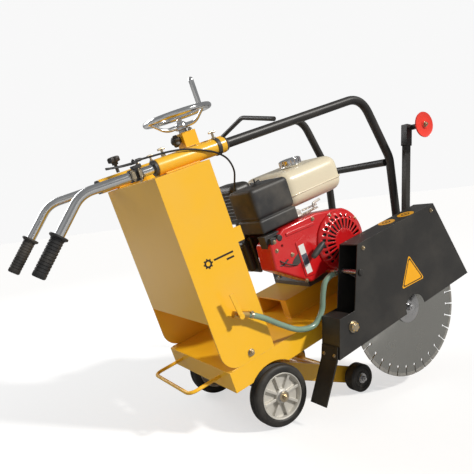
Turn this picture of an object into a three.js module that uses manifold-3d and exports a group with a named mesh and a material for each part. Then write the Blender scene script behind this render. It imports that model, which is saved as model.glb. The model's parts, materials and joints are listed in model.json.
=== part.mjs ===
// Walk-behind concrete saw, in millimetres. Everything is laid out on a level chassis
// (+X forward, +Y to the operator's left, +Z up, z = 0 on top of the deck, x = 0 at its rear
// edge), then the whole machine is tipped nose-up until its four wheels touch the ground.
import * as THREE from 'three';
import { mergeVertices } from 'three/addons/utils/BufferGeometryUtils.js';
import Module from 'manifold-3d';

const wasm = await Module();
wasm.setup();

// ---- Clearances ------------------------------------------------------------------------------
const touch = 0.3; // between faces that rest on each other
const turning = 0.4; // round a shaft that turns
const sliding = 2.3; // between the handlebars and their sockets

// ---- Driving dimensions ----------------------------------------------------------------------
const deckLength = 900;
const deckWidth = 456;
const deckThickness = 6;
const skirtHeight = 69;
const deckEdge = deckWidth / 2;
const skirtFace = deckEdge - deckThickness;

const rearWheelRadius = 101.6;
const rearWheelWidth = 50;
const rearAxleX = 139.7;
const rearAxleZ = -156;
const rearWheelOuterFace = 247;
const tyreInnerRadius = 76;
const archRadius = 115;
const axleRadius = 12.5;

const frontWheelRadius = 50.8;
const frontWheelWidth = 44;
const frontAxleX = 489;
const frontAxleZ = -295;
const frontWheelOuterFace = 220;

const pivotX = 170;
const pivotZ = -95;
const armThickness = 12;
const armInnerFace = 152;
const armHeight = 60;
const hangerThickness = 10;
const hangerInnerFace = 176;
const padBarRadius = 16;
const padReach = 75;
const padAngle = THREE.MathUtils.degToRad(-12.5);

const columnRear = -9;
const columnFront = 180;
const columnTop = 634;
const columnFloor = 170;
const sheet = 5;
const fillerX = 60;
const fillerRadius = 24;

const tubeSpread = 183.5;
const tubeZ = 662.7;
const tubeRadius = 16;
const tubeBendX = 904;
const socketRadius = 25;
const socketLength = 245;
const barRadius = 14;
const gripRadius = 19;
const gripFlangeRadius = 26.5;
const gripLength = 122;

const screwX = 243;
const screwRadius = 8;
const ramRadius = 17;
const jackTubeRadius = 23;
const jackTubeBottom = 40;
const handwheelZ = 802;
const handwheelHubZ = 764;
const handwheelRadius = 112;
const handwheelRim = 10.5;
const spinnerAngle = THREE.MathUtils.degToRad(12.4);

const crankX = 589;
const crankZ = 206;
const bedTop = 70;
const engineBase = bedTop + touch;
const fanRadius = 118;
const recoilRadius = 108;

const bladeX = 702;
const bladeZ = -97;
const bladeRadius = 250;
const bladeThickness = 5;
const bladeY = -313;
const flangeRadius = 57;
const shaftRadius = 17.5;
const arborRadius = 12.5;
const pulleyRadius = 52;
const beltY = 140;
const beltWidth = 30;
const pulleyWidth = 38;

const guardOuterY = -357;
const guardInnerY = -270;
const guardSheet = 3;
const hingeX = 409;
const hingeZ = -24;
const hingePinRadius = 8;
const pipeX = 504;
const pipeZ = 127;
const pipeRadius = 9;
const hoseRadius = 9.75;
const hoseY = -258;

const pointerPivotX = 812;
const pointerPivotZ = -20;
const pointerY = -243;
const pointerTube = 22;
const pointerTopX = 1036;
const pointerTopZ = 503;
const pointerDiscRadius = 47.5;

// ---- Materials -------------------------------------------------------------------------------
const finish = (color, roughness, metalness) => new THREE.MeshStandardMaterial({ color, roughness, metalness });
const finishes = {
  yellow: finish('#fbc22d', 0.38, 0.1),
  black: finish('#2b2b2a', 0.45, 0.3),
  plastic: finish('#3a3a38', 0.5, 0.0),
  rubber: finish('#1d1d1c', 0.75, 0.0),
  chrome: finish('#d4d7d8', 0.12, 1.0),
  steel: finish('#b9bbbb', 0.25, 1.0),
  cast: finish('#b9b4a8', 0.45, 0.9),
  red: finish('#d8161c', 0.3, 0.05),
  cream: finish('#e9e0c6', 0.4, 0.0),
  brass: finish('#c9a24e', 0.3, 0.9),
  hose: finish('#8fb5a0', 0.35, 0.0),
  disc: finish('#ff3b2b', 0.5, 0.0),
  blade: finish('#c9cccc', 0.22, 1.0),
};

// ---- Solids ----------------------------------------------------------------------------------
function toSolid(geometry) {
  const bare = geometry.clone();
  bare.deleteAttribute('normal');
  bare.deleteAttribute('uv');
  const merged = mergeVertices(bare, 1e-4);
  return new wasm.Manifold(new wasm.Mesh({
    numProp: 3,
    vertProperties: new Float32Array(merged.attributes.position.array),
    triVerts: new Uint32Array(merged.index.array),
  }));
}

function toGeometry(solid) {
  const data = solid.getMesh();
  const geometry = new THREE.BufferGeometry();
  geometry.setAttribute('position', new THREE.BufferAttribute(data.vertProperties, 3));
  geometry.setIndex(new THREE.BufferAttribute(data.triVerts, 1));
  return geometry;
}

const join = (...pieces) => pieces.reduce((whole, piece) => whole.add(piece));
const cut = (whole, ...tools) => tools.reduce((rest, tool) => rest.subtract(tool), whole);

function box(x0, x1, y0, y1, z0, z1) {
  const geometry = new THREE.BoxGeometry(x1 - x0, y1 - y0, z1 - z0);
  geometry.translate((x0 + x1) / 2, (y0 + y1) / 2, (z0 + z1) / 2);
  return toSolid(geometry);
}

const up = new THREE.Vector3(0, 1, 0);

// A round bar from one point to another.
function rod(from, to, radius, sides = 16) {
  const a = new THREE.Vector3(...from);
  const b = new THREE.Vector3(...to);
  const geometry = new THREE.CylinderGeometry(radius, radius, a.distanceTo(b), sides);
  const along = b.clone().sub(a).normalize();
  geometry.applyQuaternion(new THREE.Quaternion().setFromUnitVectors(up, along));
  geometry.translate((a.x + b.x) / 2, (a.y + b.y) / 2, (a.z + b.z) / 2);
  return toSolid(geometry);
}

// A turned piece: its profile of [distance along the axis, radius] ends on the axis or closes.
function turned(profile, direction, centre, sides = 20) {
  const points = profile.map(([along, radius]) => new THREE.Vector2(radius, along));
  if (THREE.ShapeUtils.area(points) < 0) {
    points.reverse();
  }
  const geometry = new THREE.LatheGeometry(points, sides);
  geometry.applyQuaternion(new THREE.Quaternion().setFromUnitVectors(up, new THREE.Vector3(...direction)));
  geometry.translate(...centre);
  return toSolid(geometry);
}

// A flat plate with an outline in x and z, lying between two y values.
function plate(outline, y0, y1) {
  const shape = new THREE.Shape(outline.map(([x, z]) => new THREE.Vector2(x, z)));
  const geometry = new THREE.ExtrudeGeometry(shape, { depth: y1 - y0, bevelEnabled: false });
  geometry.rotateX(Math.PI / 2);
  geometry.translate(0, y1, 0);
  return toSolid(geometry);
}

// A block with rounded upright corners and bevelled top and bottom edges.
function cushionBlock(x0, x1, y0, y1, z0, z1, corner, bevel) {
  const shape = new THREE.Shape();
  const left = x0 + bevel;
  const right = x1 - bevel;
  const near = y0 + bevel;
  const far = y1 - bevel;
  shape.moveTo(left + corner, near);
  shape.lineTo(right - corner, near);
  shape.quadraticCurveTo(right, near, right, near + corner);
  shape.lineTo(right, far - corner);
  shape.quadraticCurveTo(right, far, right - corner, far);
  shape.lineTo(left + corner, far);
  shape.quadraticCurveTo(left, far, left, far - corner);
  shape.lineTo(left, near + corner);
  shape.quadraticCurveTo(left, near, left + corner, near);
  const geometry = new THREE.ExtrudeGeometry(shape, {
    depth: z1 - z0 - 2 * bevel,
    bevelSize: bevel,
    bevelThickness: bevel,
    bevelSegments: 2,
    curveSegments: 3,
  });
  geometry.translate(0, 0, z0 + bevel);
  return toSolid(geometry);
}

// A path through chosen stations, one section at each station and mitred corners between.
class Stations extends THREE.Curve {
  constructor(points) {
    super();
    this.points = points;
  }

  getPoint(t, target = new THREE.Vector3()) {
    const place = Math.min(Math.max(t, 0), 1) * (this.points.length - 1);
    const index = Math.min(Math.floor(place), this.points.length - 2);
    return target.lerpVectors(this.points[index], this.points[index + 1], place - index);
  }

  getUtoTmapping(u) {
    return u;
  }
}

// Stations of a bent tube: straight runs with a bend of one radius at each corner.
function bends(corners, bendRadius, steps = 4) {
  const points = corners.map((corner) => new THREE.Vector3(...corner));
  const stations = [points[0]];
  for (let i = 1; i < points.length - 1; i += 1) {
    const back = points[i - 1].clone().sub(points[i]);
    const ahead = points[i + 1].clone().sub(points[i]);
    const turn = Math.PI - back.angleTo(ahead);
    const room = 0.49 * Math.min(back.length(), ahead.length());
    const reach = Math.min(bendRadius * Math.tan(turn / 2), room);
    const start = points[i].clone().add(back.setLength(reach));
    const end = points[i].clone().add(ahead.setLength(reach));
    const arc = new THREE.QuadraticBezierCurve3(start, points[i], end);
    stations.push(...arc.getPoints(steps));
  }
  stations.push(points[points.length - 1]);
  return stations;
}

function tubeAlong(stations, radius, sides = 12) {
  const shape = new THREE.Shape();
  for (let i = 0; i < sides; i += 1) {
    const angle = (2 * Math.PI * i) / sides;
    shape[i === 0 ? 'moveTo' : 'lineTo'](radius * Math.cos(angle), radius * Math.sin(angle));
  }
  shape.closePath();
  const geometry = new THREE.ExtrudeGeometry(shape, {
    steps: stations.length - 1,
    extrudePath: new Stations(stations),
    bevelEnabled: false,
  });
  return toSolid(geometry);
}

// An outline moved inwards by its own distance along each edge; edge i runs from point i.
function inset(outline, distances) {
  const edges = outline.map((point, i) => {
    const next = outline[(i + 1) % outline.length];
    const length = Math.hypot(next[0] - point[0], next[1] - point[1]);
    const along = [(next[0] - point[0]) / length, (next[1] - point[1]) / length];
    const inward = [-along[1], along[0]];
    return { at: [point[0] + inward[0] * distances[i], point[1] + inward[1] * distances[i]], along };
  });
  return edges.map((edge, i) => {
    const last = edges[(i + edges.length - 1) % edges.length];
    const cross = last.along[0] * edge.along[1] - last.along[1] * edge.along[0];
    const dx = edge.at[0] - last.at[0];
    const dz = edge.at[1] - last.at[1];
    const reach = (dx * edge.along[1] - dz * edge.along[0]) / cross;
    return [last.at[0] + last.along[0] * reach, last.at[1] + last.along[1] * reach];
  });
}

function arcPoints(x, z, radius, fromDegrees, toDegrees, steps) {
  return Array.from({ length: steps + 1 }, (unused, i) => {
    const angle = THREE.MathUtils.degToRad(fromDegrees + ((toDegrees - fromDegrees) * i) / steps);
    return [x + radius * Math.cos(angle), z + radius * Math.sin(angle)];
  });
}

const group = new THREE.Group();
const chassis = new THREE.Group();
group.add(chassis);

function add(name, solid, finishName) {
  const mesh = new THREE.Mesh(toGeometry(solid), finishes[finishName]);
  mesh.name = name;
  chassis.add(mesh);
}

const sides = { right: -1, left: 1 };
const across = (y0, y1, side) => (side < 0 ? [-y1, -y0] : [y0, y1]);

// ---- Deck, engine bed and running gear brackets ------------------------------------------------
const bedRear = 350;
const bedFront = 780;
const bedHalfWidth = 108;
const railWidth = 36;
const beltSlot = [crankX - 62, bladeX + 66];
const slotSide = pulleyWidth / 2 + 6;
const hangerOutline = [
  [pivotX - 78, -deckThickness],
  [rearAxleX - 30, rearAxleZ - 14],
  [rearAxleX - 14, rearAxleZ - 28],
  [rearAxleX + 14, rearAxleZ - 28],
  [rearAxleX + 30, rearAxleZ - 14],
  [pivotX + 34, pivotZ],
  [pivotX + 66, -deckThickness],
];

function makeDeck() {
  let deck = join(
    box(0, deckLength, -deckEdge, deckEdge, -deckThickness, 0),
    box(0, deckThickness, -deckEdge, deckEdge, -skirtHeight, 0),
    box(deckLength - deckThickness, deckLength, -deckEdge, deckEdge, -skirtHeight, 0),
  );
  for (const side of Object.values(sides)) {
    const hanger = plate(hangerOutline, ...across(hangerInnerFace, hangerInnerFace + hangerThickness, side));
    deck = join(
      deck,
      box(0, deckLength, ...across(skirtFace, deckEdge, side), -skirtHeight, 0),
      box(bedRear, bedFront, ...across(bedHalfWidth - railWidth, bedHalfWidth, side), -1, bedTop),
      hanger,
    );
  }
  const boss = rod([hingeX, -deckEdge + 1, hingeZ], [hingeX, guardInnerY + 2, hingeZ], 19);
  const pinEnd = guardOuterY - touch;
  const hingePin = rod([hingeX, -deckEdge - 1, hingeZ], [hingeX, pinEnd - 2, hingeZ], hingePinRadius, 20);
  const hingeHead = rod([hingeX, pinEnd - 12, hingeZ], [hingeX, pinEnd, hingeZ], 15, 6);
  const bossPlate = box(hingeX - 30, hingeX + 30, -deckEdge - 6, -deckEdge + 1, hingeZ - 38, hingeZ + 22);
  deck = join(
    deck,
    box(bedRear, bedFront, -bedHalfWidth, bedHalfWidth, bedTop - deckThickness, bedTop),
    boss,
    bossPlate,
    hingePin,
    hingeHead,
  );
  return cut(
    deck,
    rod([rearAxleX, -deckEdge - 9, rearAxleZ], [rearAxleX, -skirtFace + 9, rearAxleZ], archRadius, 32),
    rod([rearAxleX, skirtFace - 9, rearAxleZ], [rearAxleX, deckEdge + 9, rearAxleZ], archRadius, 32),
    rod([rearAxleX, -deckEdge, rearAxleZ], [rearAxleX, deckEdge, rearAxleZ], axleRadius + touch),
    rod([pivotX, -deckEdge + 20, pivotZ], [pivotX, deckEdge - 20, pivotZ], axleRadius + touch),
    rod([screwX, 0, -20], [screwX, 0, 20], ramRadius + 8),
    box(beltSlot[0], beltSlot[1], beltY - slotSide, beltY + slotSide, -20, 20),
  );
}
add('deck_frame', makeDeck(), 'yellow');

const liftBarZ = -30;
const liftBarReach = -115;
const liftBarSpread = 145;
add('rear_lift_bar', tubeAlong(bends([
  [-touch, -liftBarSpread, liftBarZ],
  [liftBarReach, -liftBarSpread, liftBarZ],
  [liftBarReach, liftBarSpread, liftBarZ],
  [-touch, liftBarSpread, liftBarZ],
], 30), 6, 10), 'black');

// ---- Column: the water tank with its side plates standing on the deck --------------------------
function makeColumn() {
  const cornerRadius = 60;
  let column = box(columnRear, columnFront, -deckEdge, deckEdge, columnFloor, columnTop);
  for (const side of Object.values(sides)) {
    const lowerCorner = arcPoints(columnRear + cornerRadius, touch + cornerRadius, cornerRadius, 180, 270, 8);
    const leg = plate(
      [...lowerCorner, [columnFront, touch], [columnFront, columnFloor + 1], [columnRear, columnFloor + 1]],
      ...across(deckEdge - sheet, deckEdge, side),
    );
    column = join(column, leg);
  }
  column = join(
    column,
    box(columnFront - 1, columnFront + 26, -deckEdge, -deckEdge + sheet, 364, 411),
    rod([fillerX, 0, columnTop - 1], [fillerX, 0, columnTop + 12], fillerRadius + sheet),
  );
  return cut(
    column,
    box(columnRear + sheet, columnFront - sheet, -deckEdge + sheet, deckEdge - sheet,
      columnFloor + sheet, columnTop - sheet),
    rod([fillerX, 0, columnTop - 9], [fillerX, 0, columnTop + 20], fillerRadius),
  );
}
add('water_tank', makeColumn(), 'yellow');

const fillerTop = columnTop + 12;
add('tank_cap', turned([
  [touch - 10, 0],
  [touch - 10, fillerRadius - 1],
  [touch, fillerRadius - 1],
  [touch, fillerRadius + 8],
  [12, fillerRadius + 8],
  [16, fillerRadius + 4],
  [16, 0],
], [0, 0, 1], [fillerX, 0, fillerTop]), 'black');

// ---- Handle sockets, frame tubes and bails ------------------------------------------------------
const socketRear = { right: 25, left: -43 };
const tubeInSocket = 60;
const crossbarRooms = [];

for (const [name, side] of Object.entries(sides)) {
  const y = side * tubeSpread;
  const rear = socketRear[name];
  const front = rear + socketLength;
  const socket = join(
    rod([rear, y, tubeZ], [front, y, tubeZ], socketRadius, 20),
    box(Math.max(rear, 0) + 20, 165, y - 13, y + 13, columnTop + touch, tubeZ),
  );
  add(`handle_socket_${name}`, cut(
    socket,
    rod([rear - 5, y, tubeZ], [front - tubeInSocket - 5, y, tubeZ], barRadius + sliding, 20),
    rod([front - tubeInSocket - 6, y, tubeZ], [front + 5, y, tubeZ], tubeRadius + touch, 20),
  ), 'yellow');

  const run = bends([
    [front - tubeInSocket, y, tubeZ],
    [tubeBendX, y, tubeZ],
    [964, y, 404],
    [917, y, 191],
    [872, y, 3],
  ], 90);
  crossbarRooms.push(tubeAlong(run, tubeRadius + touch));
  add(`frame_tube_${name}`, cut(
    join(tubeAlong(run, tubeRadius), box(838, 896, y - 30, y + 30, touch, 6 + touch)),
    box(800, 940, y - 40, y + 40, -40, touch),
  ), 'black');
}

const crossbarX = 950;
const crossbarZ = 390;
add('frame_crossbar', cut(
  rod([crossbarX, -tubeSpread, crossbarZ], [crossbarX, tubeSpread, crossbarZ], 14),
  ...crossbarRooms,
), 'black');

const bailX = 490;
const bailFoot = tubeZ + tubeRadius + 8.8;
add('lifting_bail', tubeAlong(bends([
  [bailX, -tubeSpread, bailFoot],
  [bailX, 0, 729],
  [bailX, tubeSpread, bailFoot],
], 60), 8, 10), 'black');

// ---- Depth jack ----------------------------------------------------------------------------------
const headTop = 742;
const headBottom = 690;
const bridgeBottom = 641;
const bridgeHalf = tubeSpread - socketRadius - touch;
add('lift_head', cut(
  join(
    box(columnFront + 10, 285, -bridgeHalf, bridgeHalf, bridgeBottom, headBottom),
    box(222, 275, -28, 28, headBottom - 1, headTop),
    rod([screwX, 0, jackTubeBottom], [screwX, 0, headBottom], jackTubeRadius),
  ),
  rod([screwX, 0, jackTubeBottom - 5], [screwX, 0, headBottom - 8], ramRadius + 1, 24),
  rod([screwX, 0, headBottom - 20], [screwX, 0, headTop + 5], screwRadius + turning, 20),
), 'yellow');

const padX = pivotX + padReach * Math.cos(padAngle);
const padZ = pivotZ + padReach * Math.sin(padAngle);
const padGap = 1;
const ramBottom = padZ + padBarRadius + padGap;
const ramTop = 225;
const screwBottom = 165;
add('jack_ram', cut(
  rod([screwX, 0, ramBottom], [screwX, 0, ramTop], ramRadius, 24),
  rod([screwX, 0, 100], [screwX, 0, ramTop + 5], screwRadius + turning, 20),
), 'steel');
add('lift_screw', join(
  rod([screwX, 0, screwBottom], [screwX, 0, handwheelHubZ - 12 - touch], screwRadius, 20),
  rod([screwX, 0, headTop + touch], [screwX, 0, handwheelHubZ - 12 - touch], 14, 20),
), 'steel');

function makeHandwheel() {
  const torus = new THREE.TorusGeometry(handwheelRadius, handwheelRim, 8, 24);
  torus.translate(screwX, 0, handwheelZ);
  let wheel = join(
    toSolid(torus),
    turned([[-12, 0], [-12, 22], [8, 22], [14, 15], [14, 0]], [0, 0, 1], [screwX, 0, handwheelHubZ], 16),
  );
  for (let i = 0; i < 3; i += 1) {
    const angle = Math.PI / 3 + (2 * Math.PI * i) / 3;
    const at = (radius, z) => [screwX + radius * Math.cos(angle), radius * Math.sin(angle), z];
    const spoke = tubeAlong(bends([
      at(12, handwheelHubZ),
      at(62, handwheelHubZ - 2),
      at(handwheelRadius, handwheelZ),
    ], 60, 2), 7, 8);
    wheel = join(wheel, spoke);
  }
  return wheel;
}
add('handwheel', makeHandwheel(), 'chrome');

const spinnerX = screwX + handwheelRadius * Math.cos(spinnerAngle);
const spinnerY = handwheelRadius * Math.sin(spinnerAngle);
add('handwheel_spinner', turned([
  [handwheelRim + touch, 0],
  [handwheelRim + touch, 6],
  [22, 9],
  [100, 9.5],
  [112, 8],
  [116, 4],
  [116, 0],
], [0, 0, 1], [spinnerX, spinnerY, handwheelZ], 20), 'chrome');

function starKnob(radius, height, direction, centre) {
  const along = new THREE.Vector3(...direction);
  const tilt = new THREE.Quaternion().setFromUnitVectors(up, along);
  let knob = turned([[0, 0], [0, radius * 0.5], [height * 0.3, radius * 0.55], [height * 0.4, radius * 0.8],
    [height, radius * 0.72], [height, 0]], direction, centre, 14);
  for (let i = 0; i < 6; i += 1) {
    const angle = (Math.PI * i) / 3;
    const offset = new THREE.Vector3(radius * 0.72 * Math.cos(angle), 0, radius * 0.72 * Math.sin(angle));
    const foot = offset.applyQuaternion(tilt).add(new THREE.Vector3(...centre));
    const low = foot.clone().addScaledVector(along, height * 0.4);
    const high = foot.clone().addScaledVector(along, height * 0.92);
    knob = join(knob, rod(low.toArray(), high.toArray(), radius * 0.28, 8));
  }
  return knob;
}
add('head_lock_knob', starKnob(17, 22, [-1, 0, 0], [222 - touch, 0, 722]), 'plastic');
const leftKnobX = 40;
add('socket_lock_knob_left', join(
  starKnob(22, 30, [0, 0, 1], [leftKnobX, tubeSpread, 716]),
  rod([leftKnobX, tubeSpread, tubeZ + socketRadius + touch], [leftKnobX, tubeSpread, 718], 6, 14),
), 'plastic');

// ---- Handlebars ----------------------------------------------------------------------------------
const barBend = { right: -211, left: -226 };
const gripAngle = THREE.MathUtils.degToRad(42.3);
const gripStart = 126;
for (const [name, side] of Object.entries(sides)) {
  const y = side * tubeSpread;
  const along = (distance) => [
    barBend[name] - distance * Math.cos(gripAngle),
    y,
    tubeZ - distance * Math.sin(gripAngle),
  ];
  const direction = [-Math.cos(gripAngle), 0, -Math.sin(gripAngle)];
  add(`handlebar_${name}`, tubeAlong(bends([
    [barBend[name] + 331, y, tubeZ],
    [barBend[name], y, tubeZ],
    along(gripStart + gripLength - 5),
  ], 90, 6), barRadius, 12), 'chrome');
  add(`grip_${name}`, turned([
    [0, barRadius + touch],
    [gripLength - 5 + touch, barRadius + touch],
    [gripLength - 5 + touch, 0],
    [gripLength, 0],
    [gripLength, gripRadius - 3],
    [gripLength - 3, gripRadius],
    [12, gripRadius],
    [6, gripFlangeRadius],
    [0, gripFlangeRadius],
    [0, barRadius + touch],
  ], direction, along(gripStart), 16), 'rubber');
}

const throttleX = -35;
const throttleY = -tubeSpread;
const leverZ = tubeZ + 28 + touch;
const leverPivotX = throttleX;
add('throttle_lever', join(
  turned([[0, 0], [0, 11], [7, 11], [7, 0]], [0, 0, 1], [leverPivotX, throttleY, leverZ], 20),
  tubeAlong(bends([
    [leverPivotX, throttleY, leverZ + 4],
    [leverPivotX - 40, throttleY + 4, leverZ + 6],
    [leverPivotX - 84, throttleY - 2, leverZ + 12],
  ], 60, 3), 4, 10),
), 'black');

// ---- Engine --------------------------------------------------------------------------------------
const crankcaseFar = 108;
const crankcaseNear = -108;
add('crankcase', cut(
  join(
    plate([
      [crankX - 119, engineBase], [crankX + 121, engineBase], [crankX + 121, engineBase + 16],
      [crankX + 98, engineBase + 26], [crankX + 98, crankZ + 64], [crankX + 46, crankZ + 96],
      [crankX - 60, crankZ + 96], [crankX - 94, crankZ + 50], [crankX - 94, engineBase + 26],
      [crankX - 119, engineBase + 16],
    ], crankcaseNear, crankcaseFar),
  ),
  rod([crankX, crankcaseNear - 5, crankZ], [crankX, crankcaseFar + 5, crankZ], 14 + turning),
), 'cast');

const cylinderTilt = THREE.MathUtils.degToRad(25);
function makeCylinder() {
  const length = 176;
  const base = [crankX - 104, crankZ + 20];
  const place = (u, w) => [
    base[0] - u * Math.cos(cylinderTilt) - w * Math.sin(cylinderTilt),
    base[1] + u * Math.sin(cylinderTilt) - w * Math.cos(cylinderTilt),
  ];
  const block = (u0, u1, half, y0, y1) => plate(
    [place(u0, half), place(u0, -half), place(u1, -half), place(u1, half)],
    y0,
    y1,
  );
  let cylinder = block(8, length, 36, -36, 78);
  for (let i = 0; i < 6; i += 1) {
    const start = 22 + i * 16;
    cylinder = join(cylinder, block(start, start + 5, 50, -42, 94));
  }
  return join(cylinder, block(length - 40, length, 44, -40, 88), block(length - 1, length + 14, 34, -30, 70));
}
add('cylinder', makeCylinder(), 'cast');

const shroudOutline = [
  [372, 336], [300, 300], [292, 214], [420, 118],
  ...arcPoints(crankX, crankZ, fanRadius, 222, 422, 14),
  [520, 336],
].reverse();
const shroudBack = crankcaseNear - 5;
const shroudFront = -205;
add('fan_shroud', cut(
  plate(shroudOutline.reverse(), shroudFront, shroudBack),
  plate(inset(shroudOutline, shroudOutline.map(() => 3)), shroudFront + 3, shroudBack + 5),
  rod([crankX, shroudFront - 5, crankZ], [crankX, shroudFront + 10, crankZ], 96, 32),
), 'red');

function makeRecoilCover() {
  const front = -232;
  let cover = turned([
    [0, recoilRadius],
    [8, recoilRadius],
    [22, 88],
    [27, 70],
    [27, 0],
    [23, 0],
    [23, 68],
    [18, 84],
    [6, recoilRadius - 6],
    [0, recoilRadius - 6],
    [0, recoilRadius],
  ], [0, -1, 0], [crankX, shroudFront - touch, crankZ], 28);
  const slots = 12;
  for (let i = 0; i < slots; i += 1) {
    const angle = (360 * (i + 0.5)) / slots;
    const spread = 4.2;
    const slot = plate([
      ...arcPoints(crankX, crankZ, 46, angle - spread, angle + spread, 1),
      ...arcPoints(crankX, crankZ, 80, angle + spread, angle - spread, 1),
    ], front - 5, shroudFront);
    cover = cut(cover, slot);
  }
  return cover;
}
add('recoil_cover', makeRecoilCover(), 'red');

const recoilGripX = 454;
const recoilGripZ = 222;
add('recoil_grip', join(
  rod([recoilGripX - 28, -240, recoilGripZ - 14], [recoilGripX + 34, -240, recoilGripZ + 17], 9, 14),
  rod([recoilGripX, -240, recoilGripZ], [recoilGripX + 20, -222, recoilGripZ + 5], 7, 12),
), 'plastic');

function makeFlywheel() {
  let wheel = turned([
    [shroudBack - 2, 0], [shroudBack - 2, 80], [shroudBack - 14, 88], [shroudBack - 14, 16],
    [shroudBack - 30, 16], [shroudBack - 30, 0],
  ].map(([along, radius]) => [-along, radius]), [0, -1, 0], [crankX, 0, crankZ]);
  wheel = join(wheel, rod([crankX, shroudBack - 4, crankZ], [crankX, 40, crankZ], 14, 20));
  const fins = 8;
  for (let i = 0; i < fins; i += 1) {
    const angle = (360 * i) / fins;
    const fin = plate([
      ...arcPoints(crankX, crankZ, 40, angle - 3, angle + 3, 1),
      ...arcPoints(crankX, crankZ, 84, angle + 1, angle - 1, 1),
    ], shroudBack - 34, shroudBack - 12);
    wheel = join(wheel, fin);
  }
  return wheel;
}
add('flywheel', makeFlywheel(), 'cast');

const tankBottom = 366;
const tankTop = 500;
const tankMiddle = 412;
add('fuel_tank', cut(
  join(
    cushionBlock(468, 747, -150, 132, tankMiddle, tankTop, 46, 12),
    cushionBlock(474, 741, -144, 126, tankBottom, tankMiddle + 14, 44, 12),
  ),
  box(490, 728, -130, 112, tankBottom + 14, tankTop - 14),
  rod([606, -40, tankTop - 20], [606, -40, tankTop + 5], 27),
), 'cream');
add('fuel_cap', turned([
  [-12, 0], [-12, 26], [touch, 26], [touch, 40], [26, 42], [31, 37], [31, 0],
], [0, 0, 1], [606, -40, tankTop], 20), 'chrome');

const cleanerSplit = 391;
add('air_cleaner', join(
  cushionBlock(306, 459, -184, -46, 340, cleanerSplit + 14, 20, 4),
  cushionBlock(300, 465, -190, -40, cleanerSplit, 495, 26, 12),
), 'plastic');
add('muffler', cushionBlock(338, 432, -20, 150, 362, 514, 26, 12), 'black');

// ---- Belt drive ----------------------------------------------------------------------------------
function pulley(x, z, boreless) {
  const half = pulleyWidth / 2;
  const groove = 8;
  return [[-half, 0], [-half, pulleyRadius + 4], [-half + 3, pulleyRadius + 4], [-half + 3, pulleyRadius - groove],
    [half - 3, pulleyRadius - groove], [half - 3, pulleyRadius + 4], [half, pulleyRadius + 4], [half, 0]]
    .map(([along, radius]) => [along, Math.max(radius, boreless)]);
}
add('engine_pulley', join(
  turned(pulley(crankX, crankZ, 0), [0, 1, 0], [crankX, beltY, crankZ], 24),
  rod([crankX, 40 + touch, crankZ], [crankX, beltY + 26, crankZ], 14, 20),
), 'cast');
add('shaft_pulley', cut(
  turned(pulley(bladeX, bladeZ, 0), [0, 1, 0], [bladeX, beltY, bladeZ], 24),
  rod([bladeX, beltY - 40, bladeZ], [bladeX, beltY + 40, bladeZ], shaftRadius + touch, 24),
), 'cast');

function beltLoop(radius) {
  const distance = Math.hypot(bladeX - crankX, bladeZ - crankZ);
  const tilt = THREE.MathUtils.radToDeg(Math.atan2(bladeZ - crankZ, bladeX - crankX));
  return { distance, outline: [
    ...arcPoints(crankX, crankZ, radius, tilt + 90, tilt + 270, 12),
    ...arcPoints(bladeX, bladeZ, radius, tilt - 90, tilt + 90, 12),
  ] };
}
add('drive_belts', cut(
  plate(beltLoop(pulleyRadius + 2).outline, beltY - beltWidth / 2, beltY + beltWidth / 2),
  plate(beltLoop(pulleyRadius - 7.5).outline, beltY - beltWidth, beltY + beltWidth),
), 'rubber');

const coverOutline = [
  [crankX - 84, 0.5],
  [bladeX + 78, 0.5],
  ...arcPoints(crankX, crankZ, 74, 24, 186, 12),
];
add('belt_cover', cut(
  plate(coverOutline, beltY - pulleyWidth / 2 - 9, beltY + pulleyWidth / 2 + 16),
  plate(inset(coverOutline, coverOutline.map((point, i) => (i === 0 ? -5 : 3))),
    beltY - pulleyWidth / 2 - 6, beltY + pulleyWidth / 2 + 13),
  rod([crankX, beltY - 60, crankZ], [crankX, beltY - 10, crankZ], 14 + 6),
), 'black');

const housingOuter = 216;
for (const [name, side] of Object.entries(sides)) {
  const outline = [
    [bladeX - 66, -deckThickness - touch],
    [bladeX - 66, -deckThickness - 16],
    [bladeX - 40, -deckThickness - 24],
    ...arcPoints(bladeX, bladeZ, 38, 170, 370, 12),
    [bladeX + 40, -deckThickness - 24],
    [bladeX + 66, -deckThickness - 16],
    [bladeX + 66, -deckThickness - touch],
  ];
  add(`bearing_housing_${name}`, cut(
    plate(outline, ...across(housingOuter - 32, housingOuter, side)),
    rod([bladeX, -deckEdge, bladeZ], [bladeX, deckEdge, bladeZ], shaftRadius + turning),
  ), 'cast');
}

add('blade_shaft', join(
  rod([bladeX, bladeY + bladeThickness / 2 + 1, bladeZ], [bladeX, housingOuter + 6, bladeZ], shaftRadius),
  rod([bladeX, bladeY + bladeThickness / 2 + touch, bladeZ], [bladeX, bladeY + 15, bladeZ], flangeRadius, 24),
  rod([bladeX, bladeY - 26, bladeZ], [bladeX, bladeY + 10, bladeZ], arborRadius, 20),
), 'steel');
const flangeFace = bladeY - bladeThickness / 2 - touch;
add('outer_flange', cut(
  join(
    turned([[0, 0], [0, flangeRadius], [5, flangeRadius], [9, 30], [9, 0]], [0, -1, 0],
      [bladeX, flangeFace, bladeZ], 24),
    rod([bladeX, flangeFace - 23, bladeZ], [bladeX, flangeFace - 8, bladeZ], 22, 6),
  ),
  rod([bladeX, bladeY - 60, bladeZ], [bladeX, bladeY, bladeZ], arborRadius + touch, 20),
), 'steel');

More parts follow.
